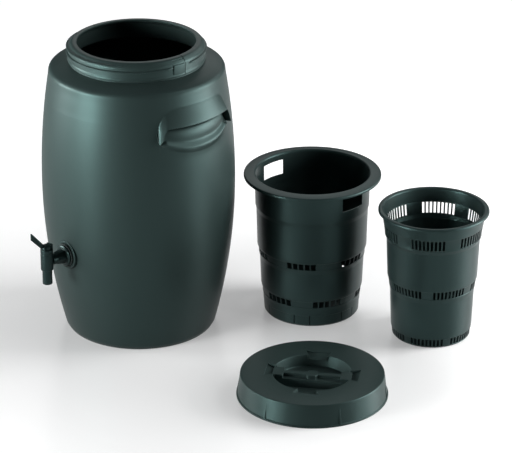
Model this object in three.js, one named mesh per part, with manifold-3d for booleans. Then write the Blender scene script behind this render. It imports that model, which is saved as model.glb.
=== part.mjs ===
// Liquid fertilizer composter, in millimetres with +Z up.
// A bulged barrel with a screw neck, two moulded hand grips and a tap, and beside it the
// three pieces that go into and onto its neck: an outer basket, an inner basket and a screw lid.
// The barrel's tap looks along -Y and its hand grips lie along -X and +X.

import * as THREE from 'three';
import { mergeVertices } from 'three/addons/utils/BufferGeometryUtils.js';
import Module from 'manifold-3d';

const wasm = await Module();
wasm.setup();

// Shared clearances and counts
const overrun = 3;          // how far a cut runs past the face it leaves by
const seatGap = 0.3;        // between pieces that rest on each other
const runningGap = 0.5;     // round pieces that turn in each other
const fullTurn = 2 * Math.PI;
const degree = Math.PI / 180;
const barrelSteps = 10;     // columns between the two grips, on each side
const outerSteps = 30;      // facet edges of both baskets fall between their slots
const innerSteps = 24;
const lidSteps = 48;
const smallestStep = 0.25;  // vertices that stand out less than this from their facets go
const tapSteps = 20;
const sealSteps = 16;
const sealSides = 6;

// Barrel neck
const barrelHeight = 625;
const neckRadius = 140;
const neckHeight = 41;
const neckFoot = barrelHeight - neckHeight;
const neckFillet = 3;
const rimWidth = 18.5;
const openingRadius = neckRadius - rimWidth;
const rimFlat = 4;
const rimDepth = 17;

// Barrel body
const barrelWall = 4;
const bulgeRadius = 200;
const bulgeHeight = 328;
const footRadius = 155.5;
const footChamfer = 4;
const footRingWidth = 14;
const baseRise = 8;
const shoulderRise = 24;
const shoulderStart = neckFoot - shoulderRise;
const shoulderWidth = 41;
const shoulderStartRadius = neckRadius + shoulderWidth;
const shoulderCorner = 15;

// Hand grips, their heights measured down from the shoulder
const gripHalfAngle = 30.5 * degree;
const gripDrop = 6;
const hoodHeight = 44;
const scoopHeight = 63;
const gripEndDrop = 42;
const gripEndHeight = 40;
const gripTop = shoulderStart - gripDrop;
const gripEdge = gripTop - hoodHeight;
const gripBottom = gripEdge - scoopHeight;
const gripEndTop = gripTop - gripEndDrop;
const gripEndBottom = gripEndTop - gripEndHeight;
const gripDepth = 40;
const gripPocketRise = 22;
const hoodBulge = 11;
const hoodWall = 7;

// Tap: its own axis is upright, its height is that of the inlet
const tapHeight = 206;
const inletLength = 44.9;
const bossRadius = 30.5;
const bossProud = 3.7;
const innerPadRadius = 25;
const innerPadProud = 5.3;
const spigotRadius = 13;
const spigotHoleGap = 0.6;
const spigotLength = 31.5;
const inletBore = 7.5;
const housingRadius = 13;
const housingWall = 1.8;
const housingBore = housingRadius - housingWall;
const housingTop = 28;
const housingBottom = -18;
const housingLip = 3;
const inletTubeRadius = 12;
const hexAcrossFlats = 28;
const hexLength = 11;
const flangeRadius = 22;
const flangeThickness = 4;
const washerRadius = 25;
const washerThickness = 3;
const innerWasherRadius = 21;
const nutAcrossFlats = 38;
const nutThickness = 8;
const stopHeight = 9;
const stopHalfAngle = 50 * degree;
const stopThickness = 2.4;
const spoutStep = 1;
const spoutRadius = housingBore - spoutStep;
const spoutDrop = 49;
const spoutWall = 3.2;
const spoutEdgeRadius = 1;
const portRadius = 6;
const sealSection = 0.8;
const sealGrooveGap = 0.25;
const upperSealHeight = 17;
const lowerSealHeight = -11;
const headSide = 8;
const headHeight = 4.5;
const headGap = 0.4;
const hubHeight = 6;
const hubDomeHeight = 4;
const hubSectorHalfAngle = 38 * degree;
const leverReach = 39;
const leverRise = 30;
const leverTipHeight = 15;
const leverRootHeight = 7;
const leverThickness = 3.4;
const leverRoot = 4;

// Outer basket
const outerStandGap = 23.2;
const outerDirection = 56.66 * degree;
const outerTurn = 5.5 * degree;
const outerHeight = 313;
const outerFlangeThickness = 3;
const outerFlangeDrop = 4;
const basketWall = 2;
const neckClearance = 1;
const outerCollarTop = openingRadius - neckClearance;
const outerFlangeWidth = 21.5;
const outerFlangeRadius = outerCollarTop + outerFlangeWidth;
const outerCollarFoot = 119.6;
const outerUpperTop = 117.4;
const outerUpperFoot = 115.2;
const outerMiddleTop = 109.6;
const outerMiddleFoot = 107.2;
const outerLowerTop = 102.6;
const outerLowerFoot = 100;
const outerFootCorner = 3;
const outerCollarHeight = 70;
const outerLedgeHeight = 10;
const outerLedgeTop = outerHeight - outerCollarHeight;
const outerLedgeFoot = outerLedgeTop - outerLedgeHeight;
const outerBandTop = 153;
const outerBandFoot = 124;
const outerLowBandTop = 64;
const outerLowBandFoot = 38;
const outerSlotWidth = 9;
const outerSlotHeight = 14;
const outerSlotsInGroup = 5;
const outerSlotSpacing = 12.9;
const outerUpperSlotHeight = 142;
const outerLowerSlotHeight = 52;
const footSlitWidth = 2;
const footSlitFoot = 4;
const footSlitTop = 25;
const footSlitSpacing = 31.5;
const handHoleDrop = 16;
const handHoleHeight = 33;
const handHoleWidth = 58;
const handHoleTurn = -3.2 * degree;

// Inner basket
const innerStandGap = 19.37;
const innerDirection = 21.99 * degree;
const innerTurn = -51.4 * degree;
const innerHeight = 282;
const innerFlangeThickness = 3;
const innerFlangeDrop = 2.5;
const innerCollarTop = 105.5;
const innerFlangeWidth = 9;
const innerFlangeRadius = innerCollarTop + innerFlangeWidth;
const innerCollarFoot = 103.5;
const innerBandFootRadius = 100;
const innerUpperTop = 96.5;
const innerUpperFoot = 93.3;
const innerMiddleTop = 87.2;
const innerMiddleFoot = 84;
const innerFootRadius = 80.8;
const innerFootCorner = 2.5;
const innerCollarHeight = 30;
const innerSlotBandHeight = 26;
const innerLedgeHeight = 8;
const innerCollarFootHeight = innerHeight - innerCollarHeight;
const innerLedgeTop = innerCollarFootHeight - innerSlotBandHeight;
const innerLedgeFoot = innerLedgeTop - innerLedgeHeight;
const innerBandTop = 136;
const innerBandFoot = 102;
const innerLowBandTop = 22;
const innerSlotWidth = 4.6;
const innerSlotsInGroup = 9;
const innerSlotSpacing = 8.1;
const innerUpperSlotLength = 23;
const innerUpperSlotRise = 0.5;
const innerMiddleSlotHeight = 123;
const innerMiddleSlotLength = 17;
const innerLowSlotHeight = 12;
const innerLowSlotLength = 15;
const slotGroups = 6;

// Lid
const lidStandGap = 146.5;
const lidDirection = 3.48 * degree;
const lidTurn = 38.5 * degree;
const lidHeight = 47;
const lidWall = 2.5;
const lidNeckGap = 3.5;
const lidSkirtSpread = 4.6;
const lidFlangeProud = 2.1;
const lidTopRadius = neckRadius + lidNeckGap + lidWall;
const lidSkirtRadius = lidTopRadius + lidSkirtSpread;
const lidFlangeRadius = lidSkirtRadius + lidFlangeProud;
const lidFlangeThickness = 3;
const lidEdgeRadius = 2;
const recessRadius = 80;
const recessDraft = 3;
const recessDepth = 24;
const pedestalWidth = 46;
const pedestalTopWidth = 34;
const pedestalHeight = 14;
const ribWidth = 11;
const ribTop = 2;
const bossAcross = 25;
const gripBlockLength = 22;
const gripBlockWidth = 34;
const rampLength = 17;
const rampOuterRadius = recessRadius + rampLength;
const rampOuterWidth = 46;
const rampInnerWidth = 38;
const rampDepth = 8;
const skirtRibs = 6;
const skirtRibThickness = 3;
const skirtRibProud = 4.5;
const skirtRibTop = 36;
const sealWidth = 18;
const sealOuterRadius = neckRadius;
const sealInnerRadius = sealOuterRadius - sealWidth;
const sealThickness = 3;

// Closed triangle mesh to solid, and back
function toSolid(geometry) {
  const plain = geometry.clone();
  plain.deleteAttribute('normal');
  plain.deleteAttribute('uv');
  const merged = mergeVertices(plain);
  const mesh = new wasm.Mesh({
    numProp: 3,
    vertProperties: new Float32Array(merged.attributes.position.array),
    triVerts: new Uint32Array(merged.index.array),
  });
  return new wasm.Manifold(mesh);
}

function toGeometry(solid) {
  const mesh = solid.simplify(smallestStep).getMesh();
  const geometry = new THREE.BufferGeometry();
  geometry.setAttribute('position', new THREE.BufferAttribute(mesh.vertProperties, 3));
  geometry.setIndex(new THREE.BufferAttribute(mesh.triVerts, 1));
  geometry.computeVertexNormals();
  return geometry;
}

// A solid of revolution about Z from [radius, height] points that start and end on the axis
// or close on themselves, listed up the outside and down the inside
function revolve(points, steps) {
  const profile = points.map(([radius, height]) => new THREE.Vector2(radius, height));
  return toSolid(new THREE.LatheGeometry(profile, steps).rotateX(Math.PI / 2));
}

function ring(innerRadius, outerRadius, foot, top, steps) {
  return revolve([
    [innerRadius, foot],
    [outerRadius, foot],
    [outerRadius, top],
    [innerRadius, top],
    [innerRadius, foot],
  ], steps);
}

function disc(radius, foot, top, steps) {
  return revolve([[0, foot], [radius, foot], [radius, top], [0, top]], steps);
}

// The same disc laid along Y, from one y to a larger one
function discAlongY(radius, start, end, steps) {
  return disc(radius, -end, -start, steps).rotate([90, 0, 0]);
}

// An outline of [x, y] points pulled up from a height
function prism(outline, foot, top) {
  const shape = new THREE.Shape(outline.map(([x, y]) => new THREE.Vector2(x, y)));
  const geometry = new THREE.ExtrudeGeometry(shape, { depth: top - foot, bevelEnabled: false });
  return toSolid(geometry.translate(0, 0, foot));
}

function block(width, depth, foot, top) {
  const geometry = new THREE.BoxGeometry(width, depth, top - foot);
  return toSolid(geometry.translate(0, 0, (top + foot) / 2));
}

// A prism with straight flanks whose outline changes from the foot to the top
function frustum(footOutline, topOutline, foot, top) {
  const count = footOutline.length;
  const positions = [];
  const index = [];
  for (const [outline, height] of [[footOutline, foot], [topOutline, top]]) {
    for (const [x, y] of outline) {
      positions.push(x, y, height);
    }
  }
  for (let side = 0; side < count; side += 1) {
    const next = (side + 1) % count;
    index.push(side, next, count + next, side, count + next, count + side);
  }
  for (let side = 1; side < count - 1; side += 1) {
    index.push(0, side + 1, side, count, count + side, count + side + 1);
  }
  const geometry = new THREE.BufferGeometry();
  geometry.setAttribute('position', new THREE.Float32BufferAttribute(positions, 3));
  geometry.setIndex(index);
  return toSolid(geometry);
}

function hexagon(acrossFlats) {
  const corner = acrossFlats / Math.sqrt(3);
  const corners = [];
  for (let side = 0; side < 6; side += 1) {
    corners.push([corner * Math.cos(side * fullTurn / 6), corner * Math.sin(side * fullTurn / 6)]);
  }
  return corners;
}

function blend(from, to, share) {
  return from + (to - from) * share;
}

// A skin round the Z axis whose profile changes with the angle: every column is a list of
// [radius, height] points from the axis back to the axis, and all have as many points
function wrapColumns(columns) {
  const rows = columns[0].profile.length;
  const positions = [];
  const index = [];
  for (const { angle, profile } of columns) {
    for (const [radius, height] of profile) {
      positions.push(radius * Math.cos(angle), radius * Math.sin(angle), height);
    }
  }
  for (let column = 0; column < columns.length; column += 1) {
    const here = column * rows;
    const next = ((column + 1) % columns.length) * rows;
    for (let row = 0; row < rows - 1; row += 1) {
      if (row > 0) {
        index.push(here + row, next + row, here + row + 1);
      }
      if (row < rows - 2) {
        index.push(next + row, next + row + 1, here + row + 1);
      }
    }
  }
  const geometry = new THREE.BufferGeometry();
  geometry.setAttribute('position', new THREE.Float32BufferAttribute(positions, 3));
  geometry.setIndex(index);
  return toSolid(geometry);
}

// Outside radius of the barrel's wall: one parabola below the bulge and one above it
function wallRadius(height) {
  if (height < bulgeHeight) {
    return bulgeRadius - (bulgeRadius - footRadius) * ((bulgeHeight - height) / bulgeHeight) ** 2;
  }
  const share = (height - bulgeHeight) / (shoulderStart - bulgeHeight);
  return bulgeRadius - (bulgeRadius - shoulderStartRadius) * share ** 2;
}

// The outside of one grip at a place across it, from -1 to 1, listed upwards: the scoop rises
// inwards to a pocket behind the hood, comes back down to the hood's lip and goes over the hood
function gripOutside(across) {
  const fade = 1 - across ** 6;
  const bottom = blend(gripEndBottom, gripBottom, 1 - across ** 2);
  const top = blend(gripEndTop, gripTop, fade);
  const edge = blend((gripEndBottom + gripEndTop) / 2, gripEdge, fade);
  const pocketTop = edge + gripPocketRise * fade;
  const lip = hoodBulge * fade;
  const behindHood = lip - hoodWall * fade;
  const depth = gripDepth * fade;
  const rowShares = [0, 0.09, 0.2, 0.3, 0.4, 0.5, 0.6, 0.7, 0.8, 0.9, 1];
  const section = [
    [0, bottom],
    [-0.35 * depth, blend(bottom, edge, 0.22)],
    [-0.75 * depth, blend(bottom, edge, 0.62)],
    [-depth, edge],
    [-0.85 * depth, blend(edge, pocketTop, 0.75)],
    [blend(behindHood, -depth, 0.3), pocketTop],
    [behindHood, blend(edge, pocketTop, 0.7)],
    [behindHood, blend(edge, pocketTop, 0.1)],
    [lip, edge],
    [0.85 * lip, blend(edge, top, 0.45)],
    [0, top],
  ];
  return section.map(([offset, height], row) => {
    const level = blend(blend(bottom, top, rowShares[row]), height, fade);
    return [wallRadius(level) + offset, level];
  });
}

// The inside of the same grip, listed downwards: one wall behind the pocket and the scoop
function gripInside(across) {
  const fade = 1 - across ** 6;
  const bottom = blend(gripEndBottom, gripBottom, 1 - across ** 2) - barrelWall;
  const edge = blend((gripEndBottom + gripEndTop) / 2, gripEdge, fade);
  const pocketTop = edge + gripPocketRise * fade + barrelWall;
  const depth = gripDepth * fade;
  const section = [
    [0, blend(gripEndTop, pocketTop + barrelWall, fade)],
    [-0.85 * depth, pocketTop],
    [-depth, edge],
    [-0.4 * depth, blend(bottom, edge, 0.22)],
    [0, bottom],
  ];
  return section.map(([offset, height]) => [wallRadius(height) - barrelWall + offset, height]);
}

function barrelProfile(across) {
  const inset = barrelWall / 2;
  const shoulderEdge = shoulderStart + shoulderCorner;
  const footInner = footRadius - footChamfer - footRingWidth;
  const outsideShares = [0.2, 0.42, 0.68, 1];
  const insideShares = [1, 0.55, 0.2];
  const outside = [
    [0, baseRise],
    [footInner - baseRise, baseRise],
    [footInner, 0],
    [footRadius - footChamfer, 0],
    [wallRadius(footChamfer), footChamfer],
    ...outsideShares.map((share) => [wallRadius(bulgeHeight * share), bulgeHeight * share]),
    [wallRadius(blend(bulgeHeight, gripBottom, 0.6)), blend(bulgeHeight, gripBottom, 0.6)],
    ...gripOutside(across),
    [shoulderStartRadius, shoulderStart],
    [shoulderStartRadius - 0.4 * shoulderCorner, shoulderStart + 0.75 * shoulderCorner],
    [shoulderStartRadius - shoulderCorner, shoulderEdge],
    [neckRadius + neckFillet, neckFoot],
    [neckRadius, neckFoot + neckFillet],
    [neckRadius, barrelHeight - rimDepth],
    [neckRadius - 0.12 * rimDepth, barrelHeight - 0.5 * rimDepth],
    [neckRadius - 0.45 * rimDepth, barrelHeight - 0.12 * rimDepth],
    [openingRadius + rimFlat, barrelHeight],
    [openingRadius, barrelHeight],
  ];
  const inside = [
    [openingRadius, barrelHeight - barrelWall],
    [openingRadius + rimFlat, barrelHeight - barrelWall],
    [neckRadius - barrelWall, barrelHeight - rimDepth - inset],
    [neckRadius - barrelWall, neckFoot - barrelWall],
    [shoulderStartRadius - shoulderCorner - inset, shoulderEdge - barrelWall],
    [shoulderStartRadius - barrelWall, shoulderStart],
    ...gripInside(across),
    ...insideShares.map((share) => [
      wallRadius(bulgeHeight * share) - barrelWall,
      bulgeHeight * share,
    ]),
    [footRadius - barrelWall, baseRise + 2 * barrelWall],
    [footRadius - 3 * barrelWall, baseRise + barrelWall],
    [0, baseRise + barrelWall],
  ];
  return outside.concat(inside);
}

// Columns close together over each grip and evenly spaced between the grips
function barrelColumns() {
  const columns = [];
  const acrossShares = [-1, -0.93, -0.8, -0.6, -0.3, 0, 0.3, 0.6, 0.8, 0.93];
  for (const middle of [0, Math.PI]) {
    for (const across of acrossShares) {
      columns.push({ angle: middle + across * gripHalfAngle, profile: barrelProfile(across) });
    }
    const gapAngle = Math.PI - 2 * gripHalfAngle;
    for (let step = 0; step < barrelSteps; step += 1) {
      const angle = middle + gripHalfAngle + gapAngle * step / barrelSteps;
      columns.push({ angle, profile: barrelProfile(1) });
    }
  }
  return columns;
}

function barrelShell() {
  const { bossFace, innerPadFace } = tapStack();
  const bossBack = wallRadius(tapHeight) - 0.75 * barrelWall - bossRadius ** 2 / (2 * bulgeRadius);
  const outerBoss = discAlongY(bossRadius, -bossFace, -bossBack, tapSteps);
  const innerPad = discAlongY(innerPadRadius, -bossBack - barrelWall, -innerPadFace, tapSteps);
  const holeRadius = spigotRadius + spigotHoleGap;
  const hole = discAlongY(holeRadius, -bossFace - overrun, -innerPadFace + overrun, tapSteps);
  return wrapColumns(barrelColumns())
    .add(outerBoss.translate([0, 0, tapHeight]))
    .add(innerPad.translate([0, 0, tapHeight]))
    .subtract(hole.translate([0, 0, tapHeight]));
}

// Stack of the tap along the inlet: the two faces on the barrel's wall and the tap's axis as
// distances from the barrel's axis, the rest as distances from the tap's axis inwards
function tapStack() {
  const bossFace = wallRadius(tapHeight) + bossProud;
  const innerPadFace = wallRadius(tapHeight) - barrelWall - innerPadProud;
  const tapReach = bossFace + 2 * seatGap + washerThickness + inletLength;
  const innerPlane = tapReach - innerPadFace;
  return {
    bossFace,
    innerPadFace,
    tapReach,
    flangeFace: inletLength,
    hexStart: inletLength - flangeThickness - hexLength,
    washerStart: inletLength + seatGap,
    innerWasherStart: innerPlane + seatGap,
    nutStart: innerPlane + 2 * seatGap + washerThickness,
    spigotEnd: inletLength + spigotLength,
  };
}

function tapHousing() {
  const stack = tapStack();
  const lipTop = housingBottom + housingLip;
  const tube = ring(housingBore, housingRadius, lipTop, housingTop, tapSteps);
  const lip = ring(spoutRadius + runningGap, housingRadius, housingBottom, lipTop, tapSteps);
  const inlet = discAlongY(inletTubeRadius, 0, stack.flangeFace, tapSteps);
  const flangeBack = stack.flangeFace - flangeThickness;
  const hex = prism(hexagon(hexAcrossFlats), -stack.flangeFace, -stack.hexStart).rotate([90, 0, 0]);
  const flange = discAlongY(flangeRadius, flangeBack, stack.flangeFace, tapSteps);
  const spigot = discAlongY(spigotRadius, flangeBack, stack.spigotEnd, tapSteps);
  const plugSpace = disc(housingBore, lipTop, housingTop + overrun, tapSteps);
  const inletWay = discAlongY(inletBore, 0, stack.spigotEnd + overrun, tapSteps);
  return inlet.add(hex).add(flange).add(spigot)
    .subtract(disc(housingRadius - overrun / 2, -housingRadius, housingRadius, tapSteps))
    .add(tube)
    .add(lip)
    .subtract(plugSpace)
    .subtract(inletWay)
    .add(stopWall());
}

// The wall at the back of the housing's top that stops the lever at both ends of its turn
function stopWall() {
  const outline = [];
  const innerRadius = housingRadius - stopThickness;
  const steps = 6;
  for (let step = 0; step <= steps; step += 1) {
    const angle = Math.PI / 2 + stopHalfAngle * (1 - 2 * step / steps);
    outline.push([housingRadius * Math.cos(angle), housingRadius * Math.sin(angle)]);
  }
  for (let step = steps; step >= 0; step -= 1) {
    const angle = Math.PI / 2 + stopHalfAngle * (1 - 2 * step / steps);
    outline.push([innerRadius * Math.cos(angle), innerRadius * Math.sin(angle)]);
  }
  return prism(outline.reverse(), housingTop - stopThickness, housingTop + stopHeight)
    .subtract(disc(housingBore, housingTop - 2 * stopThickness, housingTop, tapSteps));
}

function tapPlug() {
  const plugRadius = housingBore - runningGap;
  const grooveRadius = plugRadius - 2 * sealSection - sealGrooveGap;
  const grooveHalf = sealSection + sealGrooveGap;
  const bore = spoutRadius - spoutWall;
  const shoulder = housingBottom + housingLip + seatGap;
  const grooves = [lowerSealHeight, upperSealHeight].flatMap((height) => [
    [plugRadius, height - grooveHalf],
    [grooveRadius, height - grooveHalf],
    [grooveRadius, height + grooveHalf],
    [plugRadius, height + grooveHalf],
  ]);
  const body = revolve([
    [bore, -spoutDrop],
    [spoutRadius - spoutEdgeRadius, -spoutDrop],
    [spoutRadius, -spoutDrop + spoutEdgeRadius],
    [spoutRadius, shoulder],
    [plugRadius, shoulder],
    ...grooves,
    [plugRadius, housingTop - seatGap],
    [0, housingTop - seatGap],
    [0, upperSealHeight - grooveHalf],
    [bore, upperSealHeight - grooveHalf - spoutWall],
    [bore, -spoutDrop],
  ], tapSteps);
  const port = discAlongY(portRadius, 0, housingRadius, tapSteps);
  const head = block(headSide, headSide, housingTop - 2 * seatGap, housingTop + headHeight);
  return body.add(head).subtract(port);
}

function plugSeal(height) {
  const plugRadius = housingBore - runningGap;
  const middle = plugRadius - sealSection;
  const points = [];
  for (let step = 0; step <= sealSides; step += 1) {
    const angle = fullTurn * step / sealSides;
    points.push([middle + sealSection * Math.cos(angle), height + sealSection * Math.sin(angle)]);
  }
  return revolve(points, sealSteps);
}

// A round hub inside the stop wall, a wider sector on the free side, and a flat upright
// paddle that rises outwards from the hub
function tapLever() {
  const foot = housingTop + seatGap;
  const shoulder = foot + hubHeight;
  const coreRadius = housingRadius - stopThickness - runningGap;
  const domed = (radius) => revolve([
    [0, foot],
    [radius, foot],
    [radius, shoulder],
    [0.8 * radius, shoulder + 0.65 * hubDomeHeight],
    [0, shoulder + hubDomeHeight],
  ], tapSteps);
  const sectorAcross = 2 * housingRadius * Math.sin(hubSectorHalfAngle);
  const sectorReach = 2 * housingRadius * Math.cos(hubSectorHalfAngle);
  const sector = prism([
    [0, 0],
    [-sectorAcross, -sectorReach],
    [sectorAcross, -sectorReach],
  ], foot - overrun, shoulder + hubDomeHeight + overrun);
  const paddle = prism([
    [leverRoot, foot],
    [leverRoot + leverRootHeight, foot],
    [leverReach, foot + leverRise],
    [leverReach, foot + leverRise + leverTipHeight],
    [leverReach - leverThickness / 2, foot + leverRise + leverTipHeight],
    [leverRoot, foot + leverRootHeight],
  ], -leverThickness / 2, leverThickness / 2).rotate([90, 0, 0]).rotate([0, 0, -90]);
  const socketSide = headSide + 2 * headGap;
  const socket = block(socketSide, socketSide, foot - overrun, housingTop + headHeight + headGap);
  return domed(coreRadius)
    .add(domed(housingRadius - seatGap).intersect(sector))
    .add(paddle)
    .subtract(socket);
}

function tapOuterWasher() {
  const { washerStart, tapReach } = tapStack();
  return discAlongY(washerRadius, washerStart, washerStart + washerThickness, tapSteps)
    .subtract(discAlongY(spigotRadius + seatGap, washerStart - overrun, tapReach, tapSteps));
}

function tapInnerWasher() {
  const { innerWasherStart, tapReach } = tapStack();
  return discAlongY(innerWasherRadius, innerWasherStart, innerWasherStart + washerThickness, tapSteps)
    .subtract(discAlongY(spigotRadius + seatGap, 0, tapReach, tapSteps));
}

function tapLockNut() {
  const { nutStart, tapReach } = tapStack();
  return prism(hexagon(nutAcrossFlats), -nutStart - nutThickness, -nutStart).rotate([90, 0, 0])
    .subtract(discAlongY(spigotRadius + seatGap, 0, tapReach, tapSteps));
}

// A thin basket: its outer profile from foot to flange, and the same profile one wall inside
function basketShell(outline, flange, steps) {
  const foot = outline[0];
  const brim = outline[outline.length - 1];
  const inner = outline.slice(1).map(([radius, height]) => [radius - basketWall, height]);
  const profile = [
    [0, 0],
    foot,
    ...outline.slice(1),
    [flange.radius, brim[1] - flange.drop],
    [flange.radius, brim[1] - flange.drop + flange.thickness],
    [brim[0], brim[1] + flange.thickness],
    [brim[0] - basketWall, brim[1] + flange.thickness - basketWall / 2],
    ...inner.reverse().slice(1),
    [foot[0] - basketWall, basketWall],
    [0, basketWall],
  ];
  // half a step of turn puts a facet, not an edge, behind the middle slot of each group
  return revolve(profile, steps).rotate([0, 0, fullTurn / steps / 2 / degree]);
}

// Groups of upright slots cut through the wall, the groups evenly spaced
function slotBand({ middle, length, width, count, spacing, turn, radius }) {
  const slots = [];
  const pitch = spacing / radius;
  for (let group = 0; group < slotGroups; group += 1) {
    for (let slot = 0; slot < count; slot += 1) {
      const angle = turn + fullTurn * group / slotGroups + pitch * (slot - (count - 1) / 2);
      const cutter = block(6 * basketWall, width, middle - length / 2, middle + length / 2);
      slots.push(cutter.translate([radius, 0, 0]).rotate([0, 0, angle / degree]));
    }
  }
  return wasm.Manifold.union(slots);
}

function outerBasket() {
  const brimHeight = outerHeight - outerFlangeThickness;
  const shell = basketShell([
    [outerLowerFoot - outerFootCorner, 0],
    [outerLowerFoot, outerFootCorner],
    [outerLowerTop, outerLowBandFoot],
    [outerMiddleFoot, outerLowBandTop],
    [outerMiddleTop, outerBandFoot],
    [outerUpperFoot, outerBandTop],
    [outerUpperTop, outerLedgeFoot],
    [outerCollarFoot, outerLedgeTop],
    [outerCollarTop, brimHeight],
  ], {
    radius: outerFlangeRadius,
    drop: outerFlangeDrop,
    thickness: outerFlangeThickness,
  }, outerSteps);
  const slots = {
    length: outerSlotHeight,
    width: outerSlotWidth,
    count: outerSlotsInGroup,
    spacing: outerSlotSpacing,
  };
  const upperBand = slotBand({
    ...slots,
    middle: outerUpperSlotHeight,
    turn: 0,
    radius: outerUpperFoot - basketWall,
  });
  const lowerBand = slotBand({
    ...slots,
    middle: outerLowerSlotHeight,
    turn: fullTurn / slotGroups / 2,
    radius: outerMiddleFoot - basketWall,
  });
  const slits = slotBand({
    middle: (footSlitFoot + footSlitTop) / 2,
    length: footSlitTop - footSlitFoot,
    width: footSlitWidth,
    count: 2,
    spacing: footSlitSpacing,
    turn: 0,
    radius: outerLowerFoot - basketWall,
  });
  const handHoleTop = outerHeight - handHoleDrop;
  const handHoles = block(
    2 * outerFlangeRadius,
    handHoleWidth,
    handHoleTop - handHoleHeight,
    handHoleTop,
  ).rotate([0, 0, handHoleTurn / degree]);
  return shell.subtract(upperBand).subtract(lowerBand).subtract(slits).subtract(handHoles);
}

function innerBasket() {
  const brimHeight = innerHeight - innerFlangeThickness;
  const shell = basketShell([
    [innerFootRadius - innerFootCorner, 0],
    [innerFootRadius, innerFootCorner],
    [innerMiddleFoot, innerLowBandTop],
    [innerMiddleTop, innerBandFoot],
    [innerUpperFoot, innerBandTop],
    [innerUpperTop, innerLedgeFoot],
    [innerBandFootRadius, innerLedgeTop],
    [innerCollarFoot, innerCollarFootHeight],
    [innerCollarTop, brimHeight],
  ], {
    radius: innerFlangeRadius,
    drop: innerFlangeDrop,
    thickness: innerFlangeThickness,
  }, innerSteps);
  const slots = { width: innerSlotWidth, count: innerSlotsInGroup, spacing: innerSlotSpacing };
  const bands = [
    {
      middle: (innerCollarFootHeight + innerLedgeTop) / 2 + innerUpperSlotRise,
      length: innerUpperSlotLength,
      turn: 0,
      radius: innerBandFootRadius,
    },
    {
      middle: innerMiddleSlotHeight,
      length: innerMiddleSlotLength,
      turn: fullTurn / slotGroups / 2,
      radius: (innerUpperFoot + innerMiddleTop) / 2,
    },
    {
      middle: innerLowSlotHeight,
      length: innerLowSlotLength,
      turn: 0,
      radius: innerFootRadius,
    },
  ];
  return bands.reduce((basket, band) => basket.subtract(slotBand({ ...slots, ...band })), shell);
}

// The grip in the lid's recess: a pedestal with leaning flanks, a rib along it, a six-sided
// boss at the middle and a block at each end
function lidGrip(floor) {
  const reach = 2 * recessRadius;
  const pedestalTop = floor + pedestalHeight;
  const ribHeight = lidHeight - ribTop;
  const outline = (width) => [
    [-reach / 2, -width / 2],
    [reach / 2, -width / 2],
    [reach / 2, width / 2],
    [-reach / 2, width / 2],
  ];
  const pedestalFoot = floor - lidWall / 2;
  const pedestal = frustum(
    outline(pedestalWidth),
    outline(pedestalTopWidth),
    pedestalFoot,
    pedestalTop,
  );
  const rib = block(reach, ribWidth, floor, ribHeight);
  const boss = prism(hexagon(bossAcross), floor, ribHeight);
  const ends = [-1, 1].map((side) => block(gripBlockLength, gripBlockWidth, floor, ribHeight)
    .translate([side * (recessRadius - gripBlockLength / 2), 0, 0]));
  const inRecess = disc(recessRadius + lidWall / 2, floor - lidWall, lidHeight, lidSteps);
  return pedestal.add(rib).add(boss).add(ends[0]).add(ends[1]).intersect(inRecess);
}

// A ramp beside the recess: level with the top at its outer end and deepest at the recess
function lidRamp(side) {
  const start = recessRadius - recessDraft - lidWall;
  const innerFoot = lidHeight - rampDepth;
  const wedge = prism([
    [start, innerFoot],
    [rampOuterRadius, lidHeight],
    [rampOuterRadius, lidHeight + overrun],
    [start, lidHeight + overrun],
  ], -rampOuterWidth / 2, rampOuterWidth / 2).rotate([90, 0, 0]);
  const outline = prism([
    [start, -rampInnerWidth / 2],
    [rampOuterRadius, -rampOuterWidth / 2],
    [rampOuterRadius, rampOuterWidth / 2],
    [start, rampInnerWidth / 2],
  ], innerFoot - overrun, lidHeight + 2 * overrun);
  return wedge.intersect(outline).rotate([0, 0, 90 * side]);
}

function lidShell() {
  const floor = lidHeight - recessDepth;
  const underTop = lidHeight - lidWall;
  const body = revolve([
    [0, 0],
    [lidFlangeRadius, 0],
    [lidFlangeRadius, lidFlangeThickness],
    [lidSkirtRadius, lidFlangeThickness],
    [lidTopRadius, lidHeight - lidEdgeRadius],
    [lidTopRadius - lidEdgeRadius, lidHeight],
    [0, lidHeight],
  ], lidSteps);
  const recess = revolve([
    [0, floor],
    [recessRadius - recessDraft, floor],
    [recessRadius, lidHeight],
    [recessRadius, lidHeight + overrun],
    [0, lidHeight + overrun],
  ], lidSteps);
  const cup = disc(recessRadius + lidWall, floor - lidWall, lidHeight, lidSteps);
  const rampBacks = [0, 1, 2, 3].map((side) => lidRamp(side).translate([0, 0, -lidWall]));
  const cavity = revolve([
    [0, -overrun],
    [lidSkirtRadius - lidWall, -overrun],
    [lidSkirtRadius - lidWall, 0],
    [lidTopRadius - lidWall, underTop],
    [0, underTop],
  ], lidSteps);
  const underPedestal = block(2 * (recessRadius - gripBlockLength), pedestalTopWidth - 2 * lidWall,
    floor - 2 * lidWall, floor + pedestalHeight - lidWall);
  const hollow = rampBacks
    .reduce((space, ramp) => space.subtract(ramp), cavity.subtract(cup))
    .add(underPedestal);
  const ribs = [];
  for (let rib = 0; rib < skirtRibs; rib += 1) {
    ribs.push(skirtRib().rotate([0, 0, fullTurn * rib / skirtRibs / degree]));
  }
  const dressed = body
    .subtract(recess)
    .add(lidGrip(floor))
    .add(wasm.Manifold.union(ribs))
    .subtract(hollow);
  return [0, 1, 2, 3].reduce((lid, side) => lid.subtract(lidRamp(side)), dressed);
}

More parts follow.
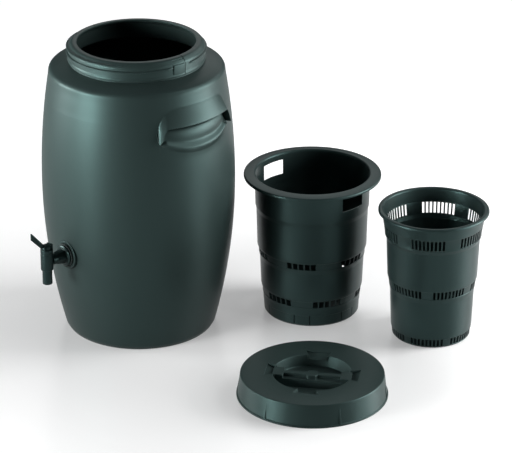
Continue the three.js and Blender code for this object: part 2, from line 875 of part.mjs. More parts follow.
// A thin three-sided rib that stands out from the skirt and widens towards the foot
function skirtRib() {
  const back = lidTopRadius - 2 * lidWall;
  return prism([
    [back, lidFlangeThickness / 2],
    [lidSkirtRadius + skirtRibProud / 2, lidFlangeThickness / 2],
    [lidTopRadius, skirtRibTop],
    [back, skirtRibTop],
  ], -skirtRibThickness / 2, skirtRibThickness / 2).rotate([90, 0, 0]);
}

function lidSeal() {
  const top = lidHeight - lidWall - seatGap;
  return ring(sealInnerRadius, sealOuterRadius, top - sealThickness, top, 2 * sealSteps);
}

// Materials as the pieces look: dull dark green-grey shells, black rubber
function plastic(color, roughness) {
  return new THREE.MeshStandardMaterial({ color, roughness, metalness: 0 });
}

function named(name, solid, material) {
  const mesh = new THREE.Mesh(toGeometry(solid), material);
  mesh.name = name;
  return mesh;
}

function placed(pieces, [x, y], turn, height = 0) {
  const group = new THREE.Group();
  group.add(...pieces);
  group.position.set(x, y, height);
  group.rotation.z = turn;
  return group;
}

// The place that lies at a distance and in a direction from another one on the floor
function placeFrom([x, y], distance, direction) {
  return [x + distance * Math.cos(direction), y + distance * Math.sin(direction)];
}

const composter = new THREE.Group();
const { tapReach } = tapStack();

// Outer basket and lid stand beside the barrel, the inner basket beside the outer one
const outerDistance = bulgeRadius + outerStandGap + outerFlangeRadius;
const innerDistance = outerFlangeRadius + innerStandGap + innerFlangeRadius;
const lidDistance = bulgeRadius + lidStandGap + lidFlangeRadius;
const outerPlace = placeFrom([0, 0], outerDistance, outerDirection);
const innerPlace = placeFrom(outerPlace, innerDistance, innerDirection);
const lidPlace = placeFrom([0, 0], lidDistance, lidDirection);

// The set stands on the floor with the middle of its plan at the origin
const setLeft = -bulgeRadius;
const setRight = lidPlace[0] + lidFlangeRadius;
const setFront = -(tapReach + leverReach);
const setBack = innerPlace[1] + innerFlangeRadius;
composter.position.set(-(setLeft + setRight) / 2, -(setFront + setBack) / 2, 0);

composter.add(named('barrel_shell', barrelShell(), plastic(0x3c5050, 0.55)));
composter.add(placed([
  named('tap_housing', tapHousing(), plastic(0x2a3a3a, 0.4)),
  named('tap_plug', tapPlug(), plastic(0x2c3d3d, 0.4)),
  named('tap_lever', tapLever(), plastic(0x2c3d3d, 0.4)),
  named('plug_seal_upper', plugSeal(upperSealHeight), plastic(0x141414, 0.8)),
  named('plug_seal_lower', plugSeal(lowerSealHeight), plastic(0x141414, 0.8)),
  named('tap_outer_washer', tapOuterWasher(), plastic(0x141414, 0.8)),
  named('tap_inner_washer', tapInnerWasher(), plastic(0x141414, 0.8)),
  named('tap_lock_nut', tapLockNut(), plastic(0x202c2c, 0.45)),
], [0, -tapReach], 0, tapHeight));
composter.add(placed([
  named('outer_basket', outerBasket(), plastic(0x354848, 0.42)),
], outerPlace, outerTurn));
composter.add(placed([
  named('inner_basket', innerBasket(), plastic(0x354848, 0.42)),
], innerPlace, innerTurn));
composter.add(placed([
  named('lid_shell', lidShell(), plastic(0x40555a, 0.5)),
  named('lid_seal', lidSeal(), plastic(0x141414, 0.8)),
], lidPlace, lidTurn));

export default composter;
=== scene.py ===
# Liquid fertilizer composter: barrel with hand grips and tap, screw lid, outer and inner basket
import math

import bpy
import numpy as np
from mathutils import Matrix, Vector


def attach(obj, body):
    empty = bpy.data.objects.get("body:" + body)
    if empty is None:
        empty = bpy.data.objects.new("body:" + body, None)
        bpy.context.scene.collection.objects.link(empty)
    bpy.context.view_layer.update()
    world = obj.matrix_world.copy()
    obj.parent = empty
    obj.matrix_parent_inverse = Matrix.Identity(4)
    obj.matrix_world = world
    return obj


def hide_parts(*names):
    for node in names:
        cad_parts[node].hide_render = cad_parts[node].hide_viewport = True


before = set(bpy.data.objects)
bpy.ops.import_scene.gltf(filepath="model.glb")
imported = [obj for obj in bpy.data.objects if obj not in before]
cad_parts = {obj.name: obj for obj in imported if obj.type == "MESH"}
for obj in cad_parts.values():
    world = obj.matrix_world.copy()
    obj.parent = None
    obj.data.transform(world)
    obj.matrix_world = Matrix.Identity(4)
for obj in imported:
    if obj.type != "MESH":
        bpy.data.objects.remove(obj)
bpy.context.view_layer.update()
print("frame loaded,", len(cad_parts), "nodes")

mm = 0.001
setPlan = {  # each group's axis on the floor, in metres, and its turn in degrees
    "barrel": ((-0.2255, -0.11895), 0),
    "outer": ((-0.0248, 0.18615), 5.5),
    "inner": ((0.231, 0.28945), -51.9),
    "lid": ((0.2728, -0.08865), 38.5),
    "tap": ((-0.2255, -0.36495), 0),
}
tapHeight = 206


# Selecting and finishing

def clearSelection():
    if bpy.context.object and bpy.context.object.mode != "OBJECT":
        bpy.ops.object.mode_set(mode="OBJECT")
    bpy.ops.object.select_all(action="DESELECT")


def pick(obj):
    clearSelection()
    obj.select_set(True)
    bpy.context.view_layer.objects.active = obj


def editAll(obj):
    pick(obj)
    bpy.ops.object.mode_set(mode="EDIT")
    bpy.ops.mesh.select_all(action="SELECT")


def leaveEdit():
    bpy.ops.object.mode_set(mode="OBJECT")


def cleanUp(obj):
    editAll(obj)
    bpy.ops.mesh.remove_doubles(threshold=2e-6)
    bpy.ops.mesh.normals_make_consistent(inside=False)
    leaveEdit()
    return obj


def smooth(obj, angle=35):
    pick(obj)
    bpy.ops.object.shade_smooth_by_angle(angle=math.radians(angle))


def apply(obj, modifier):
    pick(obj)
    bpy.ops.object.modifier_apply(modifier=modifier.name)


def bevelled(obj, width, segments=2, angle=40):
    bevel = obj.modifiers.new("bevel", "BEVEL")
    bevel.width = width * mm
    bevel.segments = segments
    bevel.limit_method = "ANGLE"
    bevel.angle_limit = math.radians(angle)
    bevel.use_clamp_overlap = True
    apply(obj, bevel)
    return obj


def thickened(obj, wall):
    solid = obj.modifiers.new("wall", "SOLIDIFY")
    solid.thickness = wall * mm
    solid.offset = -1
    solid.use_even_offset = True
    apply(obj, solid)
    return obj


def joinedUp(first, *others):
    pick(first)
    for other in others:
        other.select_set(True)
    bpy.ops.object.join()
    return first


def cutBy(obj, cutter, operation="DIFFERENCE"):
    cut = obj.modifiers.new("cut", "BOOLEAN")
    cut.object = cutter
    cut.operation = operation
    cut.solver = "EXACT"
    apply(obj, cut)
    bpy.data.objects.remove(cutter)
    return obj


def posed(obj, tilt=0, turn=0, place=(0, 0, 0)):
    # tilted about x and then turned about z, in degrees, and set down at a place in metres
    pick(obj)
    obj.rotation_euler = (math.radians(tilt), 0, math.radians(turn))
    obj.location = place
    bpy.ops.object.transform_apply(location=True, rotation=True, scale=True)
    return obj


def alongY(obj):
    # from an upright axis to one that runs towards the barrel
    return posed(obj, tilt=-90)


def settled(obj, group, height=0):
    (x, y), turn = setPlan[group]
    return posed(obj, 0, turn, (x, y, height * mm))


def finished(obj, body, material, replaced=()):
    obj.data.materials.clear()
    obj.data.materials.append(material)
    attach(obj, body)
    if replaced:
        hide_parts(*replaced)
    return obj


# Profiles that are drawn point by point and spun

def roundedPath(corners, arcStep=18):
    path = []
    for number, corner in enumerate(corners):
        here = Vector(corner[:2])
        if len(corner) < 3 or number in (0, len(corners) - 1):
            path.append(here)
            continue
        toBefore = Vector(corners[number - 1][:2]) - here
        toAfter = Vector(corners[number + 1][:2]) - here
        between = toBefore.angle(toAfter)
        room = 0.48 * min(toBefore.length, toAfter.length)
        reach = min(corner[2] / math.tan(between / 2), room)
        radius = reach * math.tan(between / 2)
        start = here + toBefore.normalized() * reach
        middle = (toBefore.normalized() + toAfter.normalized()).normalized()
        centre = here + middle * (radius / math.sin(between / 2))
        fromCentre = start - centre
        side = toBefore.x * toAfter.y - toBefore.y * toAfter.x
        sweep = (math.pi - between) * (-1 if side > 0 else 1)
        steps = max(2, math.ceil(math.degrees(abs(sweep)) / arcStep))
        for step in range(steps + 1):
            turn = Matrix.Rotation(sweep * step / steps, 2)
            path.append(centre + turn @ fromCentre)
    return path


def named(name):
    obj = bpy.context.object
    obj.name = name
    obj.data.name = name
    return obj


def drawn(name, path):
    clearSelection()
    bpy.ops.mesh.primitive_plane_add(size=0.01)
    obj = named(name)
    editAll(obj)
    bpy.ops.mesh.merge(type="CENTER")
    bpy.ops.transform.translate(value=(path[0].x * mm, 0, path[0].y * mm))
    for here, there in zip(path, path[1:]):
        step = (there - here) * mm
        move = {"value": (step.x, 0, step.y)}
        bpy.ops.mesh.extrude_region_move(TRANSFORM_OT_translate=move)
    leaveEdit()
    return obj


def spunPath(name, path, steps):
    obj = drawn(name, path)
    editAll(obj)
    bpy.ops.mesh.spin(steps=steps, angle=2 * math.pi, center=(0, 0, 0), axis=(0, 0, 1))
    leaveEdit()
    return cleanUp(obj)


def spun(name, corners, steps):
    return spunPath(name, roundedPath(corners), steps)


def swept(name, corners, steps, sweep):
    # a closed profile is filled and carried anticlockwise, for which the spin tool wants a minus
    obj = drawn(name, roundedPath(corners))
    editAll(obj)
    bpy.ops.mesh.remove_doubles(threshold=1e-6)
    bpy.ops.mesh.edge_face_add()
    bpy.ops.mesh.spin(steps=steps, angle=-math.radians(sweep), center=(0, 0, 0), axis=(0, 0, 1))
    leaveEdit()
    return cleanUp(obj)


def meshObject(name, points, faces):
    mesh = bpy.data.meshes.new(name)
    mesh.from_pydata(points, [], faces)
    obj = bpy.data.objects.new(name, mesh)
    bpy.context.scene.collection.objects.link(obj)
    return obj


def slab(name, outline, foot, top):
    # a flat outline of [x, y] corners pulled up
    clearSelection()
    obj = meshObject(name, [(x * mm, y * mm, foot * mm) for x, y in outline], [range(len(outline))])
    editAll(obj)
    rise = {"value": (0, 0, (top - foot) * mm)}
    bpy.ops.mesh.extrude_region_move(TRANSFORM_OT_translate=rise)
    bpy.ops.mesh.select_all(action="SELECT")
    bpy.ops.mesh.normals_make_consistent(inside=False)
    leaveEdit()
    return obj


def box(name, width, depth, foot, top, at=(0, 0)):
    clearSelection()
    bpy.ops.mesh.primitive_cube_add(size=mm)
    obj = named(name)
    obj.scale = (width, depth, top - foot)
    return posed(obj, place=(at[0] * mm, at[1] * mm, (top + foot) / 2 * mm))


# Finishes. Both groups give only colours and values that change over the surface.

def setInputs(node, values):
    for socket, value in values.items():
        node.inputs[socket].default_value = value


def addNode(tree, kind, values=None, **settings):
    # settings belong to the node itself, values go to its inputs
    node = tree.nodes.new(kind)
    for setting, value in settings.items():
        setattr(node, setting, value)
    setInputs(node, values or {})
    return node


def wire(tree, *rows):
    # each row is a node and its output, then a node and its input
    for source, output, target, socket in rows:
        tree.links.new(source.outputs[output], target.inputs[socket])


def newGroup(name, inputs, outputs):
    group = bpy.data.node_groups.new(name, "ShaderNodeTree")
    group.interface.new_socket("Vector", in_out="INPUT", socket_type="NodeSocketVector")
    for title, value in inputs.items():
        kind = "NodeSocketColor" if isinstance(value, tuple) else "NodeSocketFloat"
        group.interface.new_socket(title, in_out="INPUT", socket_type=kind).default_value = value
    for title in outputs:
        kind = "NodeSocketColor" if title == "Colour" else "NodeSocketFloat"
        group.interface.new_socket(title, in_out="OUTPUT", socket_type=kind)
    return group, group.nodes.new("NodeGroupInput"), group.nodes.new("NodeGroupOutput")


def mouldedPlasticGroup():
    # soft flow marks in the colour and a fine leathery grain in the height
    group, given, result = newGroup("mouldedPlastic", {
        "Colour": (0.04, 0.06, 0.06, 1), "Flow Colour": (0.05, 0.08, 0.08, 1), "Flow Scale": 6.0,
        "Flow Amount": 0.5, "Grain Scale": 900.0, "Roughness": 0.5, "Roughness Spread": 0.08,
    }, ["Colour", "Roughness", "Height"])
    stretch = addNode(group, "ShaderNodeMapping", {"Scale": (1, 1, 0.35)})
    flow = addNode(group, "ShaderNodeTexNoise", {"Detail": 3, "Roughness": 0.45})
    grain = addNode(group, "ShaderNodeTexNoise", {"Detail": 2})
    pits = addNode(group, "ShaderNodeTexVoronoi", feature="SMOOTH_F1")
    amount = addNode(group, "ShaderNodeMath", operation="MULTIPLY")
    tint = addNode(group, "ShaderNodeMix", data_type="RGBA")
    centred = addNode(group, "ShaderNodeMath", {1: 0.5}, operation="SUBTRACT")
    rough = addNode(group, "ShaderNodeMath", operation="MULTIPLY_ADD")
    height = addNode(group, "ShaderNodeMath", {1: 0.6}, operation="MULTIPLY_ADD")
    wire(
        group,
        (given, "Vector", stretch, "Vector"),
        (stretch, "Vector", flow, "Vector"),
        (given, "Flow Scale", flow, "Scale"),
        (given, "Vector", grain, "Vector"),
        (given, "Vector", pits, "Vector"),
        (given, "Grain Scale", grain, "Scale"),
        (given, "Grain Scale", pits, "Scale"),
        (flow, "Fac", amount, 0),
        (given, "Flow Amount", amount, 1),
        (amount, 0, tint, "Factor"),
        (given, "Colour", tint, "A"),
        (given, "Flow Colour", tint, "B"),
        (flow, "Fac", centred, 0),
        (centred, 0, rough, 0),
        (given, "Roughness Spread", rough, 1),
        (given, "Roughness", rough, 2),
        (pits, "Distance", height, 0),
        (grain, "Fac", height, 2),
        (tint, "Result", result, "Colour"),
        (rough, 0, result, "Roughness"),
        (height, 0, result, "Height"),
    )
    return group


def handlingWearGroup():
    # faint rub marks: short scratches and dull patches
    group, given, result = newGroup("handlingWear", {
        "Patch Scale": 9.0, "Scratch Scale": 60.0, "Amount": 0.3,
    }, ["Mask"])
    lean = addNode(group, "ShaderNodeMapping", {"Rotation": (0.3, 0.2, 0.7), "Scale": (1, 8, 1.5)})
    scratches = addNode(group, "ShaderNodeTexNoise", {"Detail": 4})
    fine = addNode(group, "ShaderNodeMapRange", {"From Min": 0.62, "From Max": 0.7})
    patches = addNode(group, "ShaderNodeTexNoise", {"Detail": 2})
    wide = addNode(group, "ShaderNodeMapRange", {"From Min": 0.5, "From Max": 0.75})
    both = addNode(group, "ShaderNodeMath", operation="MULTIPLY")
    scaled = addNode(group, "ShaderNodeMath", operation="MULTIPLY")
    wire(
        group,
        (given, "Vector", lean, "Vector"),
        (lean, "Vector", scratches, "Vector"),
        (given, "Scratch Scale", scratches, "Scale"),
        (scratches, "Fac", fine, "Value"),
        (given, "Vector", patches, "Vector"),
        (given, "Patch Scale", patches, "Scale"),
        (patches, "Fac", wide, "Value"),
        (fine, "Result", both, 0),
        (wide, "Result", both, 1),
        (both, 0, scaled, 0),
        (given, "Amount", scaled, 1),
        (scaled, 0, result, "Mask"),
    )
    return group


mouldedPlastic = mouldedPlasticGroup()
handlingWear = handlingWearGroup()


def plasticMaterial(name, look):
    material = bpy.data.materials.new(name)
    material.use_nodes = True
    tree = material.node_tree
    shader = tree.nodes["Principled BSDF"]
    place = addNode(tree, "ShaderNodeTexCoord")
    body = addNode(tree, "ShaderNodeGroup", {
        "Colour": (*look["colour"], 1), "Flow Colour": (*look["flowColour"], 1),
        "Flow Scale": look["flowScale"], "Flow Amount": look["flowAmount"],
        "Grain Scale": look["grainScale"], "Roughness": look["roughness"],
        "Roughness Spread": look["roughnessSpread"],
    }, node_tree=mouldedPlastic)
    wear = addNode(tree, "ShaderNodeGroup", {
        "Patch Scale": look["patchScale"], "Scratch Scale": look["scratchScale"], "Amount": look["wear"],
    }, node_tree=handlingWear)
    worn = addNode(tree, "ShaderNodeMix", {"B": (*look["wornColour"], 1)}, data_type="RGBA")
    dull = addNode(tree, "ShaderNodeMath", {1: look["wornRoughness"]}, operation="MULTIPLY_ADD")
    bump = addNode(tree, "ShaderNodeBump", {
        "Strength": look["grainStrength"], "Distance": look["grainDepth"] * mm,
    })
    wire(
        tree,
        (place, "Object", body, "Vector"),
        (place, "Object", wear, "Vector"),
        (body, "Colour", worn, "A"),
        (wear, "Mask", worn, "Factor"),
        (worn, "Result", shader, "Base Color"),
        (wear, "Mask", dull, 0),
        (body, "Roughness", dull, 2),
        (dull, 0, shader, "Roughness"),
        (body, "Height", bump, "Height"),
        (bump, "Normal", shader, "Normal"),
    )
    setInputs(shader, {
        "IOR": plasticRefraction, "Specular IOR Level": look["shine"],
        "Specular Tint": (*look["shineColour"], 1),
    })
    return material


plasticRefraction = 1.5
shellLook = {
    "shine": 0.25, "shineColour": (0.55, 1, 0.96), "flowAmount": 0.5, "roughnessSpread": 0.08,
    "wear": 0.2, "wornRoughness": 0.25,
}
barrelFinish = plasticMaterial("barrelPlastic", shellLook | {
    "colour": (0.0135, 0.0215, 0.0205), "flowColour": (0.016, 0.025, 0.024), "flowScale": 7,
    "flowAmount": 0.6, "grainScale": 1300, "grainStrength": 0.3, "grainDepth": 0.1, "roughness": 0.41,
    "patchScale": 8, "scratchScale": 45, "wornColour": (0.028, 0.04, 0.039), "wornRoughness": 0.2,
})
lidFinish = plasticMaterial("lidPlastic", shellLook | {
    "colour": (0.0135, 0.0215, 0.0205), "flowColour": (0.0165, 0.026, 0.025), "flowScale": 11,
    "grainScale": 1500, "grainStrength": 0.28, "grainDepth": 0.1, "roughness": 0.4, "wear": 0.22,
    "patchScale": 12, "scratchScale": 60, "wornColour": (0.03, 0.042, 0.041), "wornRoughness": 0.2,
})
basketFinish = plasticMaterial("basketPlastic", shellLook | {
    "colour": (0.0105, 0.0175, 0.0172), "flowColour": (0.0135, 0.0215, 0.021), "flowScale": 10,
    "grainScale": 2200, "grainStrength": 0.12, "grainDepth": 0.05, "roughness": 0.35,
    "patchScale": 12, "scratchScale": 70, "wornColour": (0.024, 0.035, 0.035),
})
tapFinish = plasticMaterial("tapPlastic", shellLook | {
    "colour": (0.007, 0.012, 0.012), "flowColour": (0.009, 0.015, 0.015), "flowScale": 30,
    "grainScale": 2500, "grainStrength": 0.1, "grainDepth": 0.04, "roughness": 0.34,
    "patchScale": 40, "scratchScale": 200, "wornColour": (0.02, 0.03, 0.03),
})
rubberFinish = plasticMaterial("sealRubber", {
    "colour": (0.0095, 0.0105, 0.0105), "flowColour": (0.015, 0.0165, 0.0165), "flowScale": 25,
    "flowAmount": 0.5, "grainScale": 3000, "grainStrength": 0.3, "grainDepth": 0.05,
    "roughness": 0.72, "roughnessSpread": 0.12, "patchScale": 40, "scratchScale": 150,
    "wear": 0.3, "wornColour": (0.027, 0.03, 0.03), "wornRoughness": 0.1,
    "shine": 0.3, "shineColour": (0.7, 1, 0.96),
})
print("finishes ready")


# Barrel body

barrel = {
    "height": 624.95, "wall": 4, "bulge": 200, "bulgeHeight": 328, "foot": 155.5, "baseRise": 8,
    "shoulder": 181, "shoulderStart": 560, "shoulderEdge": 575, "neck": 140, "neckFoot": 584,
    "opening": 121.5, "rimTop": 124, "rimStart": 608, "columns": 384,
}
grip = {  # heights in mm, places across the grip from 0 at the middle to 1 at its end
    "halfAngle": 30.5, "turn": 1.3, "lean": 0.045, "end": 0.95, "endTop": 512, "endBottom": 472,
    "bottom": 441.5, "bottomRise": 30, "edge": 504.3, "crown": 541, "corner": 474,
    "lip": 11, "lipStart": 0.89, "lipFade": 0.08, "hoodWall": 6.5, "tailStart": 0.78, "tailEnd": 0.91,
    "depth": 40, "endDepth": 29, "rise": 22, "pocketStart": 0.79, "pocketFade": 0.07,
    "insideStart": 0.85, "insideFade": 0.1, "blendStart": 0.94, "blendFade": 0.06,
    "clearRadius": 140, "clearFoot": 380, "clearMargin": 8,
    "rows": (6, 6, 10, 7, 5, 6, 6, 5, 2, 12, 3),
}


def mixed(start, end, share):
    return start + (end - start) * share


def wallRadius(height):
    if height < barrel["bulgeHeight"]:
        share = (barrel["bulgeHeight"] - height) / barrel["bulgeHeight"]
        return barrel["bulge"] - (barrel["bulge"] - barrel["foot"]) * share ** 2
    share = (height - barrel["bulgeHeight"]) / (barrel["shoulderStart"] - barrel["bulgeHeight"])
    return barrel["bulge"] - (barrel["bulge"] - barrel["shoulder"]) * share ** 2


def curvePoints(a, b, c, d, count):
    # count points of a four-point curve, its start left out
    points = []
    for step in range(1, count + 1):
        t = step / count
        weights = ((1 - t) ** 3, 3 * t * (1 - t) ** 2, 3 * t * t * (1 - t), t ** 3)
        points.append(tuple(sum(w * p[axis] for w, p in zip(weights, (a, b, c, d))) for axis in (0, 1)))
    return points


def clamped(value):
    return min(1, max(0, value))


def eased(value):
    share = clamped(value)
    return share * share * (3 - 2 * share)


def fading(place, start, length):
    # 1 up to the start, then down to 0
    return 1 - eased((place - start) / length)


def gripSection(across):
    # radii and heights, upwards. The lip runs down at the ends and makes two tails.
    place = abs(across)
    shape = max(0, 1 - (place / grip["end"]) ** 5) ** (1 / 3)
    top = mixed(grip["corner"], grip["crown"], shape)
    tail = clamped((place - grip["tailStart"]) / (grip["tailEnd"] - grip["tailStart"]))
    edge = mixed(grip["edge"], grip["corner"], tail ** 1.3)
    bottom = grip["bottom"] + grip["bottomRise"] * min(1, place / grip["end"]) ** 2.4
    top = max(top, edge + 1)
    edge = max(edge, bottom + 2)
    tall = edge - bottom
    inside = fading(place, grip["insideStart"], grip["insideFade"])
    pocket = fading(place, grip["pocketStart"], grip["pocketFade"])
    lip = grip["lip"] * math.sqrt(1 - clamped((place - grip["lipStart"]) / grip["lipFade"]) ** 2)
    back = max(0, lip - grip["hoodWall"]) * pocket
    depth = mixed(grip["endDepth"], grip["depth"], pocket) * inside
    rise = grip["rise"] * pocket

    def point(offset, share):
        return (offset * (inside if offset < 0 else 1), bottom + share * tall)

    curves = [  # two handles and the end of each: rolled rim, valley, the tongue's brow and shelf
        (point(0.1 * inside, 0.03), point(2.7 * inside, 0.1), point(3 * inside, 0.19)),
        (point(3.2 * inside, 0.25), point(-1.8, 0.3), point(-3.2, 0.37)),
        (point(-4.2, 0.42), point(-1.5, 0.54), point(-2.7, 0.68)),
        (point(-3.5, 0.78), point(-5, 0.845), point(-8.5, 0.865)),
        # the pocket's floor, back and roof, and the hood's inner side
        (point(-18, 0.89), (-depth, edge - 0.1 * tall), (-depth, edge + 0.2 * rise)),
        ((-depth, edge + 0.7 * rise), (-0.85 * depth, edge + rise), (mixed(back, -depth, 0.5), edge + rise)),
        ((back, edge + rise), (back, edge + 0.7 * rise), (back, edge + 0.05 * rise)),
        # under the lip, round its edge, up the hood's front, and the crease above it
        ((back, edge - 0.6), (mixed(back, lip, 0.4), edge - 0.8), (lip - min(lip, 0.9), edge - 0.3)),
        ((lip, edge), (lip, edge + 0.3), (lip, edge + 1)),
        ((0.8 * lip, mixed(edge, top, 0.3)), (0.4 * lip, mixed(edge, top, 0.65)),
         (min(lip, 1.1), max(top - 1.6, edge + 1))),
        ((min(lip, 0.5), top - 0.4), (0.1, top + 0.6), (0, top + 2.5)),
    ]
    section = [(0, bottom)]
    for (first, second, end), rows in zip(curves, grip["rows"]):
        section += curvePoints(section[-1], first, second, end, rows)
    kept = fading(place, grip["blendStart"], grip["blendFade"])
    placed = []
    for row, (offset, height) in enumerate(section):
        plain = mixed(grip["endBottom"], grip["endTop"], row / (len(section) - 1))
        z = mixed(plain, height, kept)
        placed.append((wallRadius(z) + offset, z))
    return placed


def acrossGrip(share):
    # the columns stand close together where the tails are
    sharp = ((0, 0), (0.33, 0.7), (0.93, 0.985), (1, 1))
    for (low, lowPlace), (high, highPlace) in zip(sharp, sharp[1:]):
        if share <= high:
            return mixed(lowPlace, highPlace, (share - low) / (high - low))
    return 1


def barrelPath():
    # outside from the middle of the base to the rim, then the inside down to the grips
    wall, base, foot, neck = barrel["wall"], barrel["baseRise"], barrel["foot"], barrel["neck"]
    shoulder, shoulderStart = barrel["shoulder"], barrel["shoulderStart"]
    shoulderEdge, opening = barrel["shoulderEdge"], barrel["opening"]
    neckFoot, rim, rimTop, top = barrel["neckFoot"], barrel["rimStart"], barrel["rimTop"], barrel["height"]
    outside = roundedPath([
        (0, base), (129, base, 6), (137.5, 0, 3), (foot - 3, 0, 4), (wallRadius(9), 9, 8),
        (wallRadius(24), 24),
    ])
    heights = np.linspace(24, grip["endBottom"], 22)[1:-1]
    outside += [Vector((wallRadius(z), z)) for z in heights]
    gripStart = len(outside)
    outside += [Vector(point) for point in gripSection(1)]
    gripEnd = len(outside)
    outside += [Vector((wallRadius(z), z)) for z in (524, 538, 550)]
    outside += roundedPath([
        (wallRadius(557), 557), (shoulder - 1, shoulderStart + 12, 13), (shoulder - 18, shoulderEdge + 3, 30),
        (neck + 3, neckFoot, 3), (neck - 1.2, neckFoot + 0.6, 0.8), (neck - 1.2, neckFoot + 3, 0.8),
        (neck + 1.4, neckFoot + 5, 1.2), (neck + 1.0, neckFoot + 9, 1.5), (neck, neckFoot + 11, 2),
        (neck, rim + 8, 9), (rimTop + 8, top, 9), (rimTop - 1, top),
    ], arcStep=10)
    inside = roundedPath([
        (rimTop - 1, top), (opening, top, 1.5), (opening, top - wall, 1.2),
        (opening + 9, top - wall - 1, 3), (neck - wall, rim + 2, 6), (neck - wall, neckFoot - wall, 4),
        (shoulder - 20, shoulderEdge - wall, 12), (shoulder - wall - 1, shoulderStart + 4, 8),
        (wallRadius(550) - wall, 550),
    ])
    return outside + inside[1:], gripStart, gripEnd


def barrelInsidePath():
    # on from there behind the grips and down to the middle of the floor
    wall, floor = barrel["wall"], barrel["baseRise"] + barrel["wall"]
    rows = [Vector((wallRadius(z) - wall, z)) for z in np.linspace(540, 470, 8)]
    rows += [Vector((wallRadius(z) - wall, z)) for z in np.linspace(440, 30, 14)]
    reach = barrel["foot"] - wall
    rows += roundedPath([
        (wallRadius(24) - wall, 24), (reach - 2, floor + 3, 7), (reach - 14, floor, 5), (0, floor),
    ])
    return rows


def shapeGrips(obj, path, gripStart, gripEnd):
    # the spun wall's rows are moved into scoop, pocket and hood over each grip
    profile = np.array([tuple(p) for p in path]) * mm
    half = math.radians(grip["halfAngle"])
    vertices = obj.data.vertices
    places = np.empty(len(vertices) * 3)
    vertices.foreach_get("co", places)
    places = places.reshape(-1, 3)
    radii = np.hypot(places[:, 0], places[:, 1])
    angles = np.arctan2(places[:, 1], places[:, 0])
    radiusGaps = radii[:, None] - profile[None, :, 0]
    heightGaps = places[:, 2][:, None] - profile[None, :, 1]
    rows = (radiusGaps ** 2 + heightGaps ** 2).argmin(axis=1)
    sections = {}
    for number, row in enumerate(rows):
        angle = angles[number]
        middle = 0 if abs(angle) < math.pi / 2 else math.copysign(math.pi, angle)
        across = (angle - middle) / half
        radius, height = radii[number], places[number, 2]
        if abs(across) < 1 + 1e-4:
            spread = math.copysign(acrossGrip(min(1, abs(across))), across)
            leaning = grip["lean"] * (1 - spread ** 2)
            angle = middle + math.radians(grip["turn"]) + (spread + leaning) * half
            if gripStart <= row < gripEnd:
                key = round(abs(spread), 5)
                if key not in sections:
                    sections[key] = gripSection(key)
                radius, height = (value * mm for value in sections[key][row - gripStart])
            elif radius > grip["clearRadius"] * mm and height > grip["clearFoot"] * mm:
                radius, height = clearOfGrip(spread, radius / mm, height / mm)
        places[number] = (radius * math.cos(angle), radius * math.sin(angle), height)
    vertices.foreach_set("co", places.ravel())
    obj.data.update()


def clearOfGrip(across, radius, height):
    # the rows below and above make room, and the inner wall stands off behind the pocket
    if radius >= wallRadius(height) - barrel["wall"] / 2:
        section = gripSection(across)
        if height < grip["endBottom"]:
            share = (height - grip["clearFoot"]) / (grip["endBottom"] - grip["clearFoot"])
            height = mixed(grip["clearFoot"], section[0][1], share)
            radius = wallRadius(height)
        elif height < barrel["shoulderStart"]:
            share = (height - grip["endTop"]) / (barrel["shoulderStart"] - grip["endTop"])
            height = mixed(section[-1][1], barrel["shoulderStart"], share)
            radius = wallRadius(height)
    elif grip["bottom"] - grip["clearMargin"] < height < grip["crown"]:
        start = grip["bottom"] - grip["clearMargin"]
        push = min(1, (height - start) / (grip["edge"] - start))
        if height < grip["edge"] + grip["rise"] + 6:
            radius -= grip["depth"] * (1 - abs(across) ** 6) * push
    return radius * mm, height * mm


def barrelBody():
    path, gripStart, gripEnd = barrelPath()
    path += barrelInsidePath()
    obj = spunPath("barrel_body", path, barrel["columns"])
    shapeGrips(obj, path, gripStart, gripEnd)
    return obj


seamKnife = {"depth": 1.3, "width": 1.6, "outside": 160, "above": 640, "foot": 5}
rimNotch = {"width": 16, "depth": 27, "below": 4.5, "above": 9, "radius": 141.5, "turn": -6.2}


def seamCutter(angle):
    # a thin knife that follows the rim and the neck a little under their surface
    knife = seamKnife
    foot = barrel["neckFoot"] + knife["foot"]
    line = roundedPath([
        (barrel["opening"] - 3, barrel["height"] - knife["depth"]),
        (barrel["rimTop"] + 8 - knife["depth"] / 2, barrel["height"] - knife["depth"], 9),
        (barrel["neck"] - knife["depth"], barrel["rimStart"] + 7, 8),
        (barrel["neck"] - knife["depth"], foot),
    ])
    outside = [(knife["outside"], foot), (knife["outside"], knife["above"])]
    outline = [(p.x, p.y) for p in line] + outside + [(barrel["opening"] - 3, knife["above"])]
    return posed(slab("seam_cutter", outline, -knife["width"] / 2, knife["width"] / 2), 90, angle)


def notchCutter(angle):
    foot, top = barrel["height"] - rimNotch["below"], barrel["height"] + rimNotch["above"]
    notch = box("rim_notch", rimNotch["width"], rimNotch["depth"], foot, top, (rimNotch["radius"], 0))
    return posed(notch, 0, angle + rimNotch["turn"])


neckThread = {
    "crest": 143.4, "root": 139, "width": 5.4, "crestWidth": 1.8, "pitch": 11.5, "top": 619,
    "startAngle": -52, "turns": 1.32, "stepsPerTurn": 180, "fadeAngle": 14,
    "padSide": -4, "padHalf": 6, "padFade": 5,
}
neckPad = {"radius": 142.2, "from": -8, "to": 3.2, "foot": 593, "top": 613, "seam": 4.3}


def threadSection():
    # distances from the barrel's axis and heights, in metres
    t = neckThread
    half, flat, root = t["width"] / 2, t["crestWidth"] / 2, t["root"]
    obj = drawn("neck_thread", roundedPath([
        (root - 1.5, -half), (root + 0.3, -half, 0.4), (t["crest"], -flat, 1.0),
        (t["crest"], flat, 1.0), (root + 0.3, half, 0.4), (root - 1.5, half),
    ]))
    section = [(vertex.co.x, vertex.co.z) for vertex in obj.data.vertices]
    bpy.data.objects.remove(obj)
    return section


